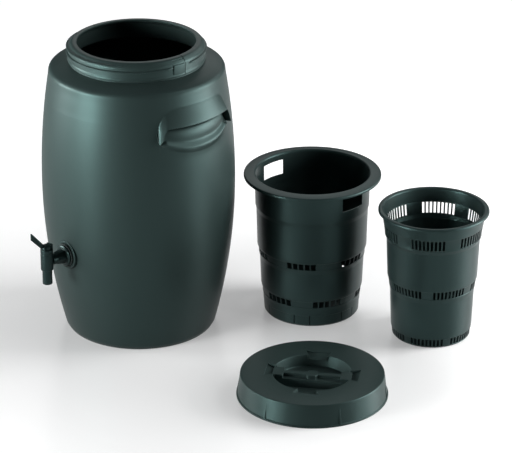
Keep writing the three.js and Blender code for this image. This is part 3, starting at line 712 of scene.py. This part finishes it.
def neckThreadPiece():
    # the ridge is carried down the neck row by row, and fades at both ends and at the pads
    t = neckThread
    section = threadSection()
    sunk = (t["root"] - 1.5) * mm
    sweep = 360 * t["turns"]
    steps = int(t["stepsPerTurn"] * t["turns"])
    points, faces = [], []
    count = len(section)
    for step in range(steps + 1):
        down = sweep * step / steps
        degrees = t["startAngle"] - down
        height = t["top"] - t["pitch"] * down / 360
        fade = min(down, sweep - down) / t["fadeAngle"]
        for side in (neckPad["seam"], neckPad["seam"] + 180):
            off = abs((degrees - (side + t["padSide"]) + 180) % 360 - 180)
            fade = min(fade, (off - t["padHalf"]) / t["padFade"])
        angle = math.radians(degrees)
        for distance, offset in section:
            radius = mixed(sunk, distance, eased(fade))
            points.append((radius * math.cos(angle), radius * math.sin(angle), height * mm + offset))
    for step in range(steps):
        for side in range(count):
            after = (side + 1) % count
            here, there = step * count, (step + 1) * count
            faces.append((here + side, here + after, there + after, there + side))
    faces.append(tuple(range(count)))
    faces.append(tuple(steps * count + side for side in reversed(range(count))))
    return cleanUp(meshObject("neck_thread", points, faces))


def neckPadPiece(number):
    p = neckPad
    inner = barrel["neck"] - 3
    obj = swept("neck_pad_%d" % number, [
        (inner, p["foot"]), (p["radius"], p["foot"], 1.2), (p["radius"], p["top"], 3),
        (inner, p["top"] + 3), (inner, p["foot"]),
    ], 16, p["to"] - p["from"])
    bevelled(obj, 0.6, 2, 50)
    return posed(obj, 0, p["from"] + 180 * number)


tapBoss = {"bore": 13.6, "radius": 30.5, "face": 197.5, "back": 186, "fillet": 2.0}


def tapBossPiece():
    b = tapBoss
    obj = spun("tap_boss", [
        (b["bore"], b["back"]), (b["radius"], b["back"]), (b["radius"], b["face"], b["fillet"]),
        (b["radius"] - 4, b["face"], 1), (b["bore"], b["face"]), (b["bore"], b["back"]),
    ], 64)
    return posed(obj, 90, 0, (0, 0, tapHeight * mm))


barrelPiece = barrelBody()
for seam in (neckPad["seam"], neckPad["seam"] + 180):
    cutBy(barrelPiece, seamCutter(seam))
    cutBy(barrelPiece, notchCutter(seam))
smooth(barrelPiece, 32)
finished(settled(barrelPiece, "barrel"), "barrel", barrelFinish, ["barrel_shell"])
barrelFittings = [
    (neckThreadPiece(), 50), (neckPadPiece(0), 40), (neckPadPiece(1), 40), (tapBossPiece(), 35),
]
for piece, angle in barrelFittings:
    smooth(piece, angle)
    finished(settled(piece, "barrel"), "barrel", barrelFinish)
print("barrel ready")


# Baskets: one skin is spun, slots are deleted from its rows and columns, and it gets its wall

basketWall = 2
basketColumns = 360
baseRadius = 76  # the faces within it, the middle of the base, stay closed
bandMargin = 1.5  # the rows this near to a band move with it
outer = {
    "profile": [
        (0, 0), (70, 0), (97.2, 0, 3.2), (100, 4), (101.2, 25), (101.9, 25.7), (102.6, 38, 2.6),
        (103.7, 44.2), (103.1, 45), (105.6, 59), (106.4, 59.8), (107.2, 64, 2.6), (109.6, 124, 2.6),
        (111.6, 134.2), (111.0, 135), (113.7, 149), (114.5, 149.8), (115.2, 153, 2.6), (116.2, 195),
        (117.4, 233, 2.6), (119.5, 243, 2.6), (119.9, 264), (120.4, 297), (120.5, 311, 3),
        (140, 308.7), (141.95, 308.3, 1.6), (141.95, 305),
    ],
    "bands": [  # the photo shows no floor through the near slots, so a far group in their line is closed
        {"foot": 135, "top": 149, "groupTurn": 0, "count": 5, "spacing": 6.53, "open": 4},
        {"foot": 45, "top": 59, "groupTurn": 30, "count": 5, "spacing": 7.02, "open": 4, "closed": (2,)},
    ],
    "shift": 0,
    "slits": {"foot": 4, "top": 25, "places": (9, -10)},
    "handHoles": {"foot": 264, "top": 297, "half": 14, "places": (-3, 177)},
}
inner = {
    "profile": [
        (0, 0), (60, 0), (78.3, 0, 2.8), (81, 3.8), (80.6, 4.5), (83.2, 19.5), (83.8, 20.2),
        (84, 22, 2.6), (87.2, 102, 2.6), (89.3, 113.8), (88.9, 114.5), (92, 131.5), (92.6, 132.2),
        (93.3, 136, 2.6), (96.5, 218, 2.6), (100, 226, 2.6), (99.8, 228), (102.8, 251),
        (103.5, 252.4, 1.6), (105.5, 280, 2.4), (110.6, 280), (112.4, 279.2, 1.2), (112.4, 276.4),
    ],
    "bands": [
        {"foot": 228, "top": 251, "groupTurn": 0, "count": 9, "spacing": 4.64, "open": 3},
        {"foot": 114.5, "top": 131.5, "groupTurn": 30, "count": 9, "spacing": 5.14, "open": 3},
        {"foot": 4.5, "top": 19.5, "groupTurn": 0, "count": 9, "spacing": 5.6, "open": 3},
    ],
    "shift": 0.5,
}
slotStep = 5  # columns from one slot to the next, before the bands are stretched


def openColumns(piece):
    # for each one-degree column the heights between which it is open
    gaps = {}

    def openUp(column, part):
        gaps.setdefault(column % 360, []).append((part["foot"], part["top"]))

    for band in piece["bands"]:
        for group in set(range(6)) - set(band.get("closed", ())):
            for slot in range(band["count"]):
                middle = band["groupTurn"] + 60 * group + piece["shift"]
                middle += (slot - (band["count"] - 1) / 2) * slotStep
                first = round(middle - band["open"] / 2)
                for column in range(first, first + band["open"]):
                    openUp(column, band)
    slits = piece.get("slits", {"places": ()})
    for place in slits["places"]:
        for group in range(6):
            openUp(place + 60 * group, slits)
    hole = piece.get("handHoles", {"places": (), "half": 0})
    for middle in hole["places"]:
        for column in range(middle - hole["half"], middle + hole["half"]):
            openUp(column, hole)
    return gaps


def stretchBands(obj, piece):
    # each band's slots move apart or together until they have their real spacing
    for vertex in obj.data.vertices:
        height = vertex.co.z / mm
        for band in piece["bands"]:
            if band["foot"] - bandMargin < height < band["top"] + bandMargin:
                angle = math.degrees(math.atan2(vertex.co.y, vertex.co.x))
                fromMiddle = (angle - band["groupTurn"] - piece["shift"] + 30) % 60 - 30
                before = slotStep * band["count"] / 2
                after = band["spacing"] * band["count"] / 2
                if abs(fromMiddle) < before:
                    moved = fromMiddle * after / before
                else:
                    share = (abs(fromMiddle) - before) / (30 - before)
                    moved = math.copysign(after + (30 - after) * share, fromMiddle)
                vertex.co.rotate(Matrix.Rotation(math.radians(moved - fromMiddle), 3, "Z"))


def basketPiece(name, piece):
    obj = spun(name, piece["profile"], basketColumns)
    base = min(obj.data.polygons, key=lambda face: face.center.z)
    if base.normal.z > 0:
        editAll(obj)
        bpy.ops.mesh.flip_normals()
        leaveEdit()
    gaps = openColumns(piece)
    pick(obj)
    bpy.ops.object.mode_set(mode="EDIT")
    bpy.ops.mesh.select_all(action="DESELECT")
    bpy.ops.mesh.select_mode(type="FACE")
    leaveEdit()
    for face in obj.data.polygons:
        centre = face.center / mm
        column = int(math.floor(math.degrees(math.atan2(centre.y, centre.x)) % 360))
        isOpen = any(foot < centre.z < top for foot, top in gaps.get(column, ()))
        face.select = isOpen and math.hypot(centre.x, centre.y) > baseRadius
    bpy.ops.object.mode_set(mode="EDIT")
    bpy.ops.mesh.delete(type="FACE")
    bpy.ops.mesh.select_mode(type="VERT")
    leaveEdit()
    stretchBands(obj, piece)
    thickened(obj, basketWall)
    bevelled(obj, 0.3, 1, 50)
    smooth(obj, 30)
    return obj


outerPiece = basketPiece("outer_basket_body", outer)
finished(settled(outerPiece, "outer"), "outer_basket", basketFinish, ["outer_basket"])
innerPiece = basketPiece("inner_basket_body", inner)
finished(settled(innerPiece, "inner"), "inner_basket", basketFinish, ["inner_basket"])
print("baskets ready")


# Lid

lid = {
    "height": 47, "wall": 2.5, "top": 146, "skirt": 150.5, "flange": 152.65, "flangeHeight": 3.2,
    "recess": 80, "draft": 3, "depth": 24, "steps": 192,
}
lidGrip = {
    "pedestal": 46, "pedestalTop": 34, "pedestalHeight": 14, "rib": 11, "ribDrop": 2,
    "boss": 25, "endLength": 22, "endWidth": 34,
}
lidRamp = {"outer": 94.5, "outerWidth": 51, "innerWidth": 35, "depth": 8, "endDepth": 2.6}
skirtRib = {"count": 6, "thickness": 3.6, "proud": 2, "top": 36}


def lidBody():
    wall, top = lid["wall"], lid["height"]
    floor, under = top - lid["depth"], top - wall
    recess, foot = lid["recess"], lid["flangeHeight"]
    return spun("lid_body", [
        (0, floor), (recess - lid["draft"], floor, 2.5), (recess, top - 0.4, 0.8),
        (recess + 0.8, top, 0.4), (lid["top"] - 1, top, 2.5), (lid["skirt"] - 0.4, foot + 1.2, 1),
        (lid["flange"], foot, 0.8), (lid["flange"], 0, 0.6), (lid["skirt"] - wall, 0, 0.6),
        (lid["top"] - wall, under, 2), (recess + wall, under, 2),
        (recess + wall - lid["draft"], floor - wall, 3), (0, floor - wall),
    ], lid["steps"])


def rampWedge(side, drop, grow):
    # sinks a ramp into the lid's top, or with a drop and some growth makes the wall under it
    r = lidRamp
    start, end = lid["recess"] - lid["draft"] - lid["wall"], r["outer"] + grow
    near, far = r["innerWidth"] / 2 + grow, r["outerWidth"] / 2 + grow
    foot, endFoot = lid["height"] - r["depth"] - drop, lid["height"] - r["endDepth"] - drop
    top = lid["height"] + (-0.4 if drop else 6)
    points = [
        (start, -near, foot), (start, near, foot), (end, far, endFoot), (end, -far, endFoot),
        (start, -near - 2, top), (start, near + 2, top), (end + 1, far + 1, top), (end + 1, -far - 1, top),
    ]
    faces = [(3, 2, 1, 0), (4, 5, 6, 7), (0, 1, 5, 4), (1, 2, 6, 5), (2, 3, 7, 6), (3, 0, 4, 7)]
    return posed(cleanUp(meshObject("ramp", [Vector(p) * mm for p in points], faces)), 0, 90 * side)


def hexOutline(across):
    corner = across / math.sqrt(3)
    turns = [math.radians(60 * side) for side in range(6)]
    return [(corner * math.cos(turn), corner * math.sin(turn)) for turn in turns]


def lidGripPiece():
    g = lidGrip
    floor = lid["height"] - lid["depth"]
    ribTop = lid["height"] - g["ribDrop"]
    reach = lid["recess"]
    foot, top = g["pedestal"] / 2, g["pedestalTop"] / 2
    outline = [(-reach, -foot), (reach, -foot), (reach, foot), (-reach, foot)]
    pedestal = slab("lid_grip", outline, floor - 1, floor + g["pedestalHeight"])
    for vertex in pedestal.data.vertices:
        if vertex.co.z > floor * mm:
            vertex.co.y *= top / foot
    parts = [box("rib", 2 * reach, g["rib"], floor, ribTop)]
    parts.append(slab("boss", hexOutline(g["boss"]), floor, ribTop))
    for side in (-1, 1):
        at = side * (reach - g["endLength"] / 2)
        parts.append(box("end", g["endLength"], g["endWidth"], floor, ribTop, (at, 0)))
    for part in parts:
        cutBy(pedestal, part, "UNION")
    well = spun("well", [(0, floor - 2), (reach + 0.3, floor - 2), (reach + 0.3, 60), (0, 60)], 96)
    cutBy(pedestal, well, "INTERSECT")
    return bevelled(pedestal, 0.9, 2, 30)


def skirtRibPiece(number):
    r = skirtRib
    back, foot = lid["top"] - 4, lid["flangeHeight"] - 1
    outline = [
        (back, foot), (lid["skirt"] + r["proud"], foot), (lid["top"] + 0.4, r["top"]), (back, r["top"]),
    ]
    obj = posed(slab("lid_rib_%d" % number, outline, -r["thickness"] / 2, r["thickness"] / 2), 90)
    bevelled(obj, 0.5, 2, 30)
    return posed(obj, 0, 360 * number / r["count"])


lidPiece = lidBody()
for side in range(4):
    cutBy(lidPiece, rampWedge(side, lid["wall"], 1.5), "UNION")
for side in range(4):
    cutBy(lidPiece, rampWedge(side, 0, 0))
skirtRibs = [skirtRibPiece(number) for number in range(skirtRib["count"])]
lidPiece = joinedUp(lidPiece, lidGripPiece(), *skirtRibs)
smooth(lidPiece, 20)
finished(settled(lidPiece, "lid"), "lid", lidFinish, ["lid_shell"])
lidSeal = {"inner": 122, "outer": 140, "thickness": 3, "round": 0.8, "gap": 0.3}
sealTop = lid["height"] - lid["wall"] - lidSeal["gap"]
sealFoot = sealTop - lidSeal["thickness"]
sealPiece = spun("lid_seal_ring", [
    (lidSeal["inner"], sealFoot), (lidSeal["outer"], sealFoot, lidSeal["round"]),
    (lidSeal["outer"], sealTop, lidSeal["round"]), (lidSeal["inner"], sealTop, lidSeal["round"]),
    (lidSeal["inner"], sealFoot),
], 128)
smooth(sealPiece)
finished(settled(sealPiece, "lid"), "lid_carrier", rubberFinish, ["lid_seal"])
print("lid ready")


# Tap: heights are from the inlet's middle, distances from the tap's own axis

tap = {
    "radius": 13, "bore": 11.2, "top": 28, "bottom": -18, "grooveFoot": 17, "grooveTop": 19.6,
    "grooveDepth": 0.5, "spout": 10.2, "spoutDrop": 49, "spoutBore": 7, "plug": 10.7,
    "plugTop": 27.7, "port": 6, "head": 8, "headTop": 32.5, "flange": 22, "flangeStart": 40.9,
    "flangeFace": 44.9, "spigot": 13, "spigotEnd": 80, "inlet": 7.5, "inletStart": 11.5,
}
collar = {"across": 28, "start": 27.2, "narrowing": 0.8}
stopWall = {"half": 50, "height": 9, "thickness": 2.4}
lever = {
    "reach": 39, "rise": 30, "tip": 15, "root": 4, "rootHeight": 7, "thickness": 3.4, "hub": 6,
    "dome": 4, "cheekAngle": 38, "cheekReach": 26,
}
gripRibs = {"count": 7, "step": 2.6, "start": 3, "lift": 4.2, "length": 7.6, "shrink": 0.55, "width": 1}
plugSeal = {"middle": 9.9, "half": 0.8, "grooveFloor": 8.9, "grooveHalf": 1.1, "heights": (-11, 17)}
washers = {
    "outside": {"inner": 13.3, "outer": 25, "round": 0.8, "foot": 45.2, "top": 48.2},
    "inside": {"inner": 13.3, "outer": 21, "round": 0.8, "foot": 61.8, "top": 64.8},
}
lockNut = {"across": 38, "bore": 13.3, "foot": 65.2, "top": 73.2}


def roundHole(radius, start, end, steps):
    return spun("hole", [(0, start), (radius, start), (radius, end), (0, end)], steps)


def housingPiece():
    bore, radius, foot = tap["bore"], tap["radius"], tap["bottom"] + 3
    groove = radius - tap["grooveDepth"]
    tube = spun("tap_housing_body", [
        (bore, foot), (tap["spout"] + 0.5, foot), (tap["spout"] + 0.5, tap["bottom"], 0.5),
        (radius - 0.6, tap["bottom"], 1), (radius, foot), (radius, tap["grooveFoot"], 0.3),
        (groove, tap["grooveFoot"] + 0.6, 0.3), (groove, tap["grooveTop"] - 0.6, 0.3),
        (radius, tap["grooveTop"], 0.3), (radius, tap["top"], 0.8), (bore, tap["top"], 0.4), (bore, foot),
    ], 72)
    flange, start, face = tap["flange"], tap["flangeStart"], tap["flangeFace"]
    pipe = alongY(spun("inlet", [
        (tap["inlet"], tap["inletStart"]), (10.5, tap["inletStart"]), (11.2, 22, 3), (12.4, 27.5, 2),
        (flange - 8, start, 2), (flange - 3, start - 0.5, 1), (flange, start + 1.2, 1.2),
        (flange, face, 0.8), (tap["spigot"], face), (tap["spigot"], tap["spigotEnd"], 1),
        (tap["inlet"], tap["spigotEnd"], 0.5), (tap["inlet"], tap["inletStart"]),
    ], 64))
    nut = slab("collar", hexOutline(collar["across"]), collar["start"] - 5, start + 0.5)
    for vertex in nut.data.vertices:
        if vertex.co.z < collar["start"] * mm:
            vertex.co.x *= collar["narrowing"]
            vertex.co.y *= collar["narrowing"]
    nut = alongY(bevelled(nut, 0.8, 2, 30))
    cutBy(nut, alongY(roundHole(tap["inlet"], 10, 60, 48)))
    return joinedUp(tube, pipe, nut)


def stopWallPiece():
    outer, inner = tap["radius"], tap["radius"] - stopWall["thickness"]
    foot, top = tap["top"] - 1, tap["top"] + stopWall["height"]
    obj = swept("tap_stop_wall", [
        (inner, foot), (outer, foot), (outer, top, 0.7), (inner, top, 0.7), (inner, foot),
    ], 24, 2 * stopWall["half"])
    return posed(obj, 0, 90 - stopWall["half"])


def plugPiece():
    plug, spout, bore, drop = tap["plug"], tap["spout"], tap["spoutBore"], -tap["spoutDrop"]
    corners = [(bore, drop), (spout, drop, 1.0), (spout, -15, 0.4), (plug, -14.6)]
    for height in plugSeal["heights"]:
        low, high = height - plugSeal["grooveHalf"], height + plugSeal["grooveHalf"]
        floor = plugSeal["grooveFloor"]
        corners += [(plug, low), (floor, low), (floor, high), (plug, high)]
    corners += [(plug, tap["plugTop"]), (0, tap["plugTop"]), (0, 15.9), (bore, 12.7), (bore, drop)]
    obj = spun("tap_plug_spout", corners, 72)
    cutBy(obj, box("head", tap["head"], tap["head"], tap["plugTop"] - 0.7, tap["headTop"]), "UNION")
    return cutBy(obj, alongY(roundHole(tap["port"], 0, 20, 32)))


def hubShape(name, radius):
    foot = tap["top"] + 0.3
    shoulder = foot + lever["hub"]
    return spun(name, [
        (0, foot), (radius, foot, 0.4), (radius, shoulder, 1.5),
        (0.72 * radius, shoulder + 0.7 * lever["dome"], 3), (0, shoulder + lever["dome"]),
    ], 64)


def leverPiece():
    foot = tap["top"] + 0.3
    hub = hubShape("tap_lever_handle", tap["radius"] - stopWall["thickness"] - 0.5)
    cheek = hubShape("cheek", tap["radius"] - 0.3)
    angle = math.radians(lever["cheekAngle"])
    side, reach = lever["cheekReach"] * math.sin(angle), lever["cheekReach"] * math.cos(angle)
    wedge = slab("wedge", [(0, 0), (-side, -reach), (side, -reach)], foot - 3, foot + lever["hub"] + 10)
    cutBy(cheek, wedge, "INTERSECT")
    cutBy(hub, cheek, "UNION")
    root, rootHeight, end = lever["root"], lever["rootHeight"], lever["reach"]
    low, high = foot + lever["rise"], foot + lever["rise"] + lever["tip"]
    half = lever["thickness"] / 2
    blade = slab("blade", [
        (root, foot + 1), (root + rootHeight, foot + 1), (end, low), (end, high - 1.2),
        (end - 1.2, high), (root, foot + rootHeight),
    ], -half, half)
    bevelled(blade, 0.5, 2, 30)
    slope = lever["rise"] / (end - root - rootHeight)
    ribs = []
    for number in range(gripRibs["count"]):
        back = gripRibs["step"] * number
        x, y = end - gripRibs["start"] - back, low - gripRibs["start"] - back * slope + gripRibs["lift"]
        top = y + gripRibs["length"] - gripRibs["shrink"] * number
        left, right = x - gripRibs["width"] / 2, x + gripRibs["width"] / 2
        for face in (-half, half):
            outline = [(left, y), (right, y), (right, top), (left, top)]
            ribs.append(slab("grip_rib", outline, face - 0.3, face + 0.3))
    joinedUp(blade, *ribs)
    return joinedUp(hub, posed(blade, 90, -90))


def sealRing(name, height):
    middle, half = plugSeal["middle"], plugSeal["half"]
    turns = [math.radians(degrees) for degrees in range(0, 361, 30)]
    return spun(name, [(middle + half * math.cos(t), height + half * math.sin(t)) for t in turns], 48)


def nutPiece():
    nut = slab("tap_lock_nut_body", hexOutline(lockNut["across"]), lockNut["foot"], lockNut["top"])
    bevelled(nut, 0.8, 2, 30)
    return alongY(cutBy(nut, roundHole(lockNut["bore"], 60, 80, 48)))


def washerPiece(side):
    w = washers[side]
    return alongY(spun("tap_washer_" + side, [
        (w["inner"], w["foot"]), (w["outer"], w["foot"], w["round"]), (w["outer"], w["top"], w["round"]),
        (w["inner"], w["top"]), (w["inner"], w["foot"]),
    ], 64))


lowerSeal, upperSeal = plugSeal["heights"]
tapPieces = [
    (joinedUp(housingPiece(), stopWallPiece()), "barrel", "tap_plastic", tapFinish, "tap_housing"),
    (plugPiece(), "tap_valve", "tap_plastic", tapFinish, "tap_plug"),
    (leverPiece(), "tap_valve", "tap_plastic", tapFinish, "tap_lever"),
    (sealRing("plug_ring_upper", upperSeal), "tap_valve", "seal_rubber", rubberFinish, "plug_seal_upper"),
    (sealRing("plug_ring_lower", lowerSeal), "tap_valve", "seal_rubber", rubberFinish, "plug_seal_lower"),
    (washerPiece("outside"), "barrel", "seal_rubber", rubberFinish, "tap_outer_washer"),
    (washerPiece("inside"), "barrel", "seal_rubber", rubberFinish, "tap_inner_washer"),
    (nutPiece(), "barrel", "tap_plastic", tapFinish, "tap_lock_nut"),
]
for piece, body, slotName, finish, node in tapPieces:
    smooth(piece, 35)
    finished(settled(piece, "tap", tapHeight), body, finish, [node])
print("tap ready")


# Floor, light and camera

studio = {
    "floorSize": 14, "paleFloor": 0.6, "dimFloor": 0.16, "floorLift": 0.25,
    "farLift": 0.5, "farStart": 0.3, "farEnd": 1.1, "floorRoughness": 0.28, "floorShine": 0.5,
    "worldColour": (0.85, 1, 1.1, 1), "worldStrength": 0.035,
}


def floorMaterial():
    # pale for the camera and in reflections, dim where it would light the plastic, and for the
    # camera plain white away from the set
    material = bpy.data.materials.new("studioFloor")
    material.use_nodes = True
    tree = material.node_tree
    shader = tree.nodes["Principled BSDF"]
    setInputs(shader, {
        "Roughness": studio["floorRoughness"], "Specular IOR Level": studio["floorShine"],
        "Emission Color": (1, 1, 1, 1),
    })
    path = addNode(tree, "ShaderNodeLightPath")
    seenOrShiny = addNode(tree, "ShaderNodeMath", operation="ADD")
    seenAtAll = addNode(tree, "ShaderNodeMath", operation="ADD", use_clamp=True)
    tone = addNode(tree, "ShaderNodeMix", {
        "A": (*[studio["dimFloor"]] * 3, 1), "B": (*[studio["paleFloor"]] * 3, 1),
    }, data_type="RGBA")
    place = addNode(tree, "ShaderNodeTexCoord")
    distance = addNode(tree, "ShaderNodeVectorMath", operation="LENGTH")
    away = addNode(tree, "ShaderNodeMapRange", {
        "From Min": studio["farStart"], "From Max": studio["farEnd"], "To Max": studio["farLift"],
    }, interpolation_type="SMOOTHSTEP")
    lift = addNode(tree, "ShaderNodeMath", {1: studio["floorLift"]}, operation="MULTIPLY")
    farLift = addNode(tree, "ShaderNodeMath", operation="MULTIPLY_ADD")
    wire(
        tree,
        (path, "Is Camera Ray", seenOrShiny, 0),
        (path, "Is Glossy Ray", seenOrShiny, 1),
        (seenOrShiny, 0, seenAtAll, 0),
        (path, "Is Transmission Ray", seenAtAll, 1),
        (seenAtAll, 0, tone, "Factor"),
        (tone, "Result", shader, "Base Color"),
        (place, "Object", distance, 0),
        (distance, "Value", away, "Value"),
        (seenAtAll, 0, lift, 0),
        (path, "Is Camera Ray", farLift, 0),
        (away, "Result", farLift, 1),
        (lift, 0, farLift, 2),
        (farLift, 0, shader, "Emission Strength"),
    )
    return material


clearSelection()
bpy.ops.mesh.primitive_plane_add(size=studio["floorSize"], location=(0, 0, 0))
floor = bpy.context.object
floor.name = "studio_floor"
floor.data.materials.append(floorMaterial())

world = bpy.data.worlds.new("studioWorld")
bpy.context.scene.world = world
world.use_nodes = True
setInputs(world.node_tree.nodes["Background"], {
    "Color": studio["worldColour"], "Strength": studio["worldStrength"],
})

view = {
    "turn": math.radians(48), "tilt": math.radians(90 - 23.98), "place": (4.1879, -3.76575, 2.755),
    "focalPixels": 3000, "photoWidth": 512, "sensorWidth": 36, "reach": 100,
}


def seenFrom(right, near, up):
    # a place as the camera sees it: to the right, towards the camera, up
    x = right * math.cos(view["turn"]) + near * math.sin(view["turn"])
    y = right * math.sin(view["turn"]) - near * math.cos(view["turn"])
    return (x, y, up)


middleOfSet = (0, -0.2, 0.4)
barrelTop = (-0.32, 0, 0.66)
lidMiddle = (0.13, 0.25, 0.08)
softboxes = [  # name, place, aim, width, power, spread
    ("left_front_high", (-2.0, 0.95, 0.72), barrelTop, 0.85, 7.5, 46),
    ("left_side", (-2.3, -0.2, 0.8), barrelTop, 0.85, 6, 44),
    ("left_front_low", (-1.7, 1.3, 0.42), lidMiddle, 0.8, 2.9, 42),
    ("right_front_low", (2.1, 0.7, 0.5), middleOfSet, 0.8, 24, 180),
    ("right_low", (2.5, -0.2, 0.65), middleOfSet, 1.2, 84, 180),
    ("right_middle", (2.4, -0.2, 1.7), middleOfSet, 1.2, 34, 180),
    ("right_high", (1.8, -0.2, 2.6), middleOfSet, 1.4, 22, 180),
    ("right_back", (1.9, -1.9, 1.8), middleOfSet, 1.4, 13, 180),
    ("back", (0, -2.6, 2.0), middleOfSet, 1.8, 12, 180),
]
for name, position, aim, width, power, spread in softboxes:
    clearSelection()
    start = Vector(seenFrom(*position))
    bpy.ops.object.light_add(type="AREA", location=start)
    lamp = bpy.context.object
    lamp.name = name
    lamp.data.shape = "SQUARE"
    lamp.data.size = width
    lamp.data.energy = power
    lamp.data.spread = math.radians(spread)
    lamp.rotation_euler = (Vector(seenFrom(*aim)) - start).to_track_quat("-Z", "Y").to_euler()

cameraData = bpy.data.cameras.new("camera")
cameraData.sensor_width = view["sensorWidth"]
cameraData.lens = view["focalPixels"] * view["sensorWidth"] / view["photoWidth"]
cameraData.clip_end = view["reach"]
camera = bpy.data.objects.new("camera", cameraData)
bpy.context.scene.collection.objects.link(camera)
camera.location = view["place"]
camera.rotation_euler = (view["tilt"], 0, view["turn"])
bpy.context.scene.camera = camera
bpy.context.scene.view_settings.view_transform = "Standard"

print("scene ready")
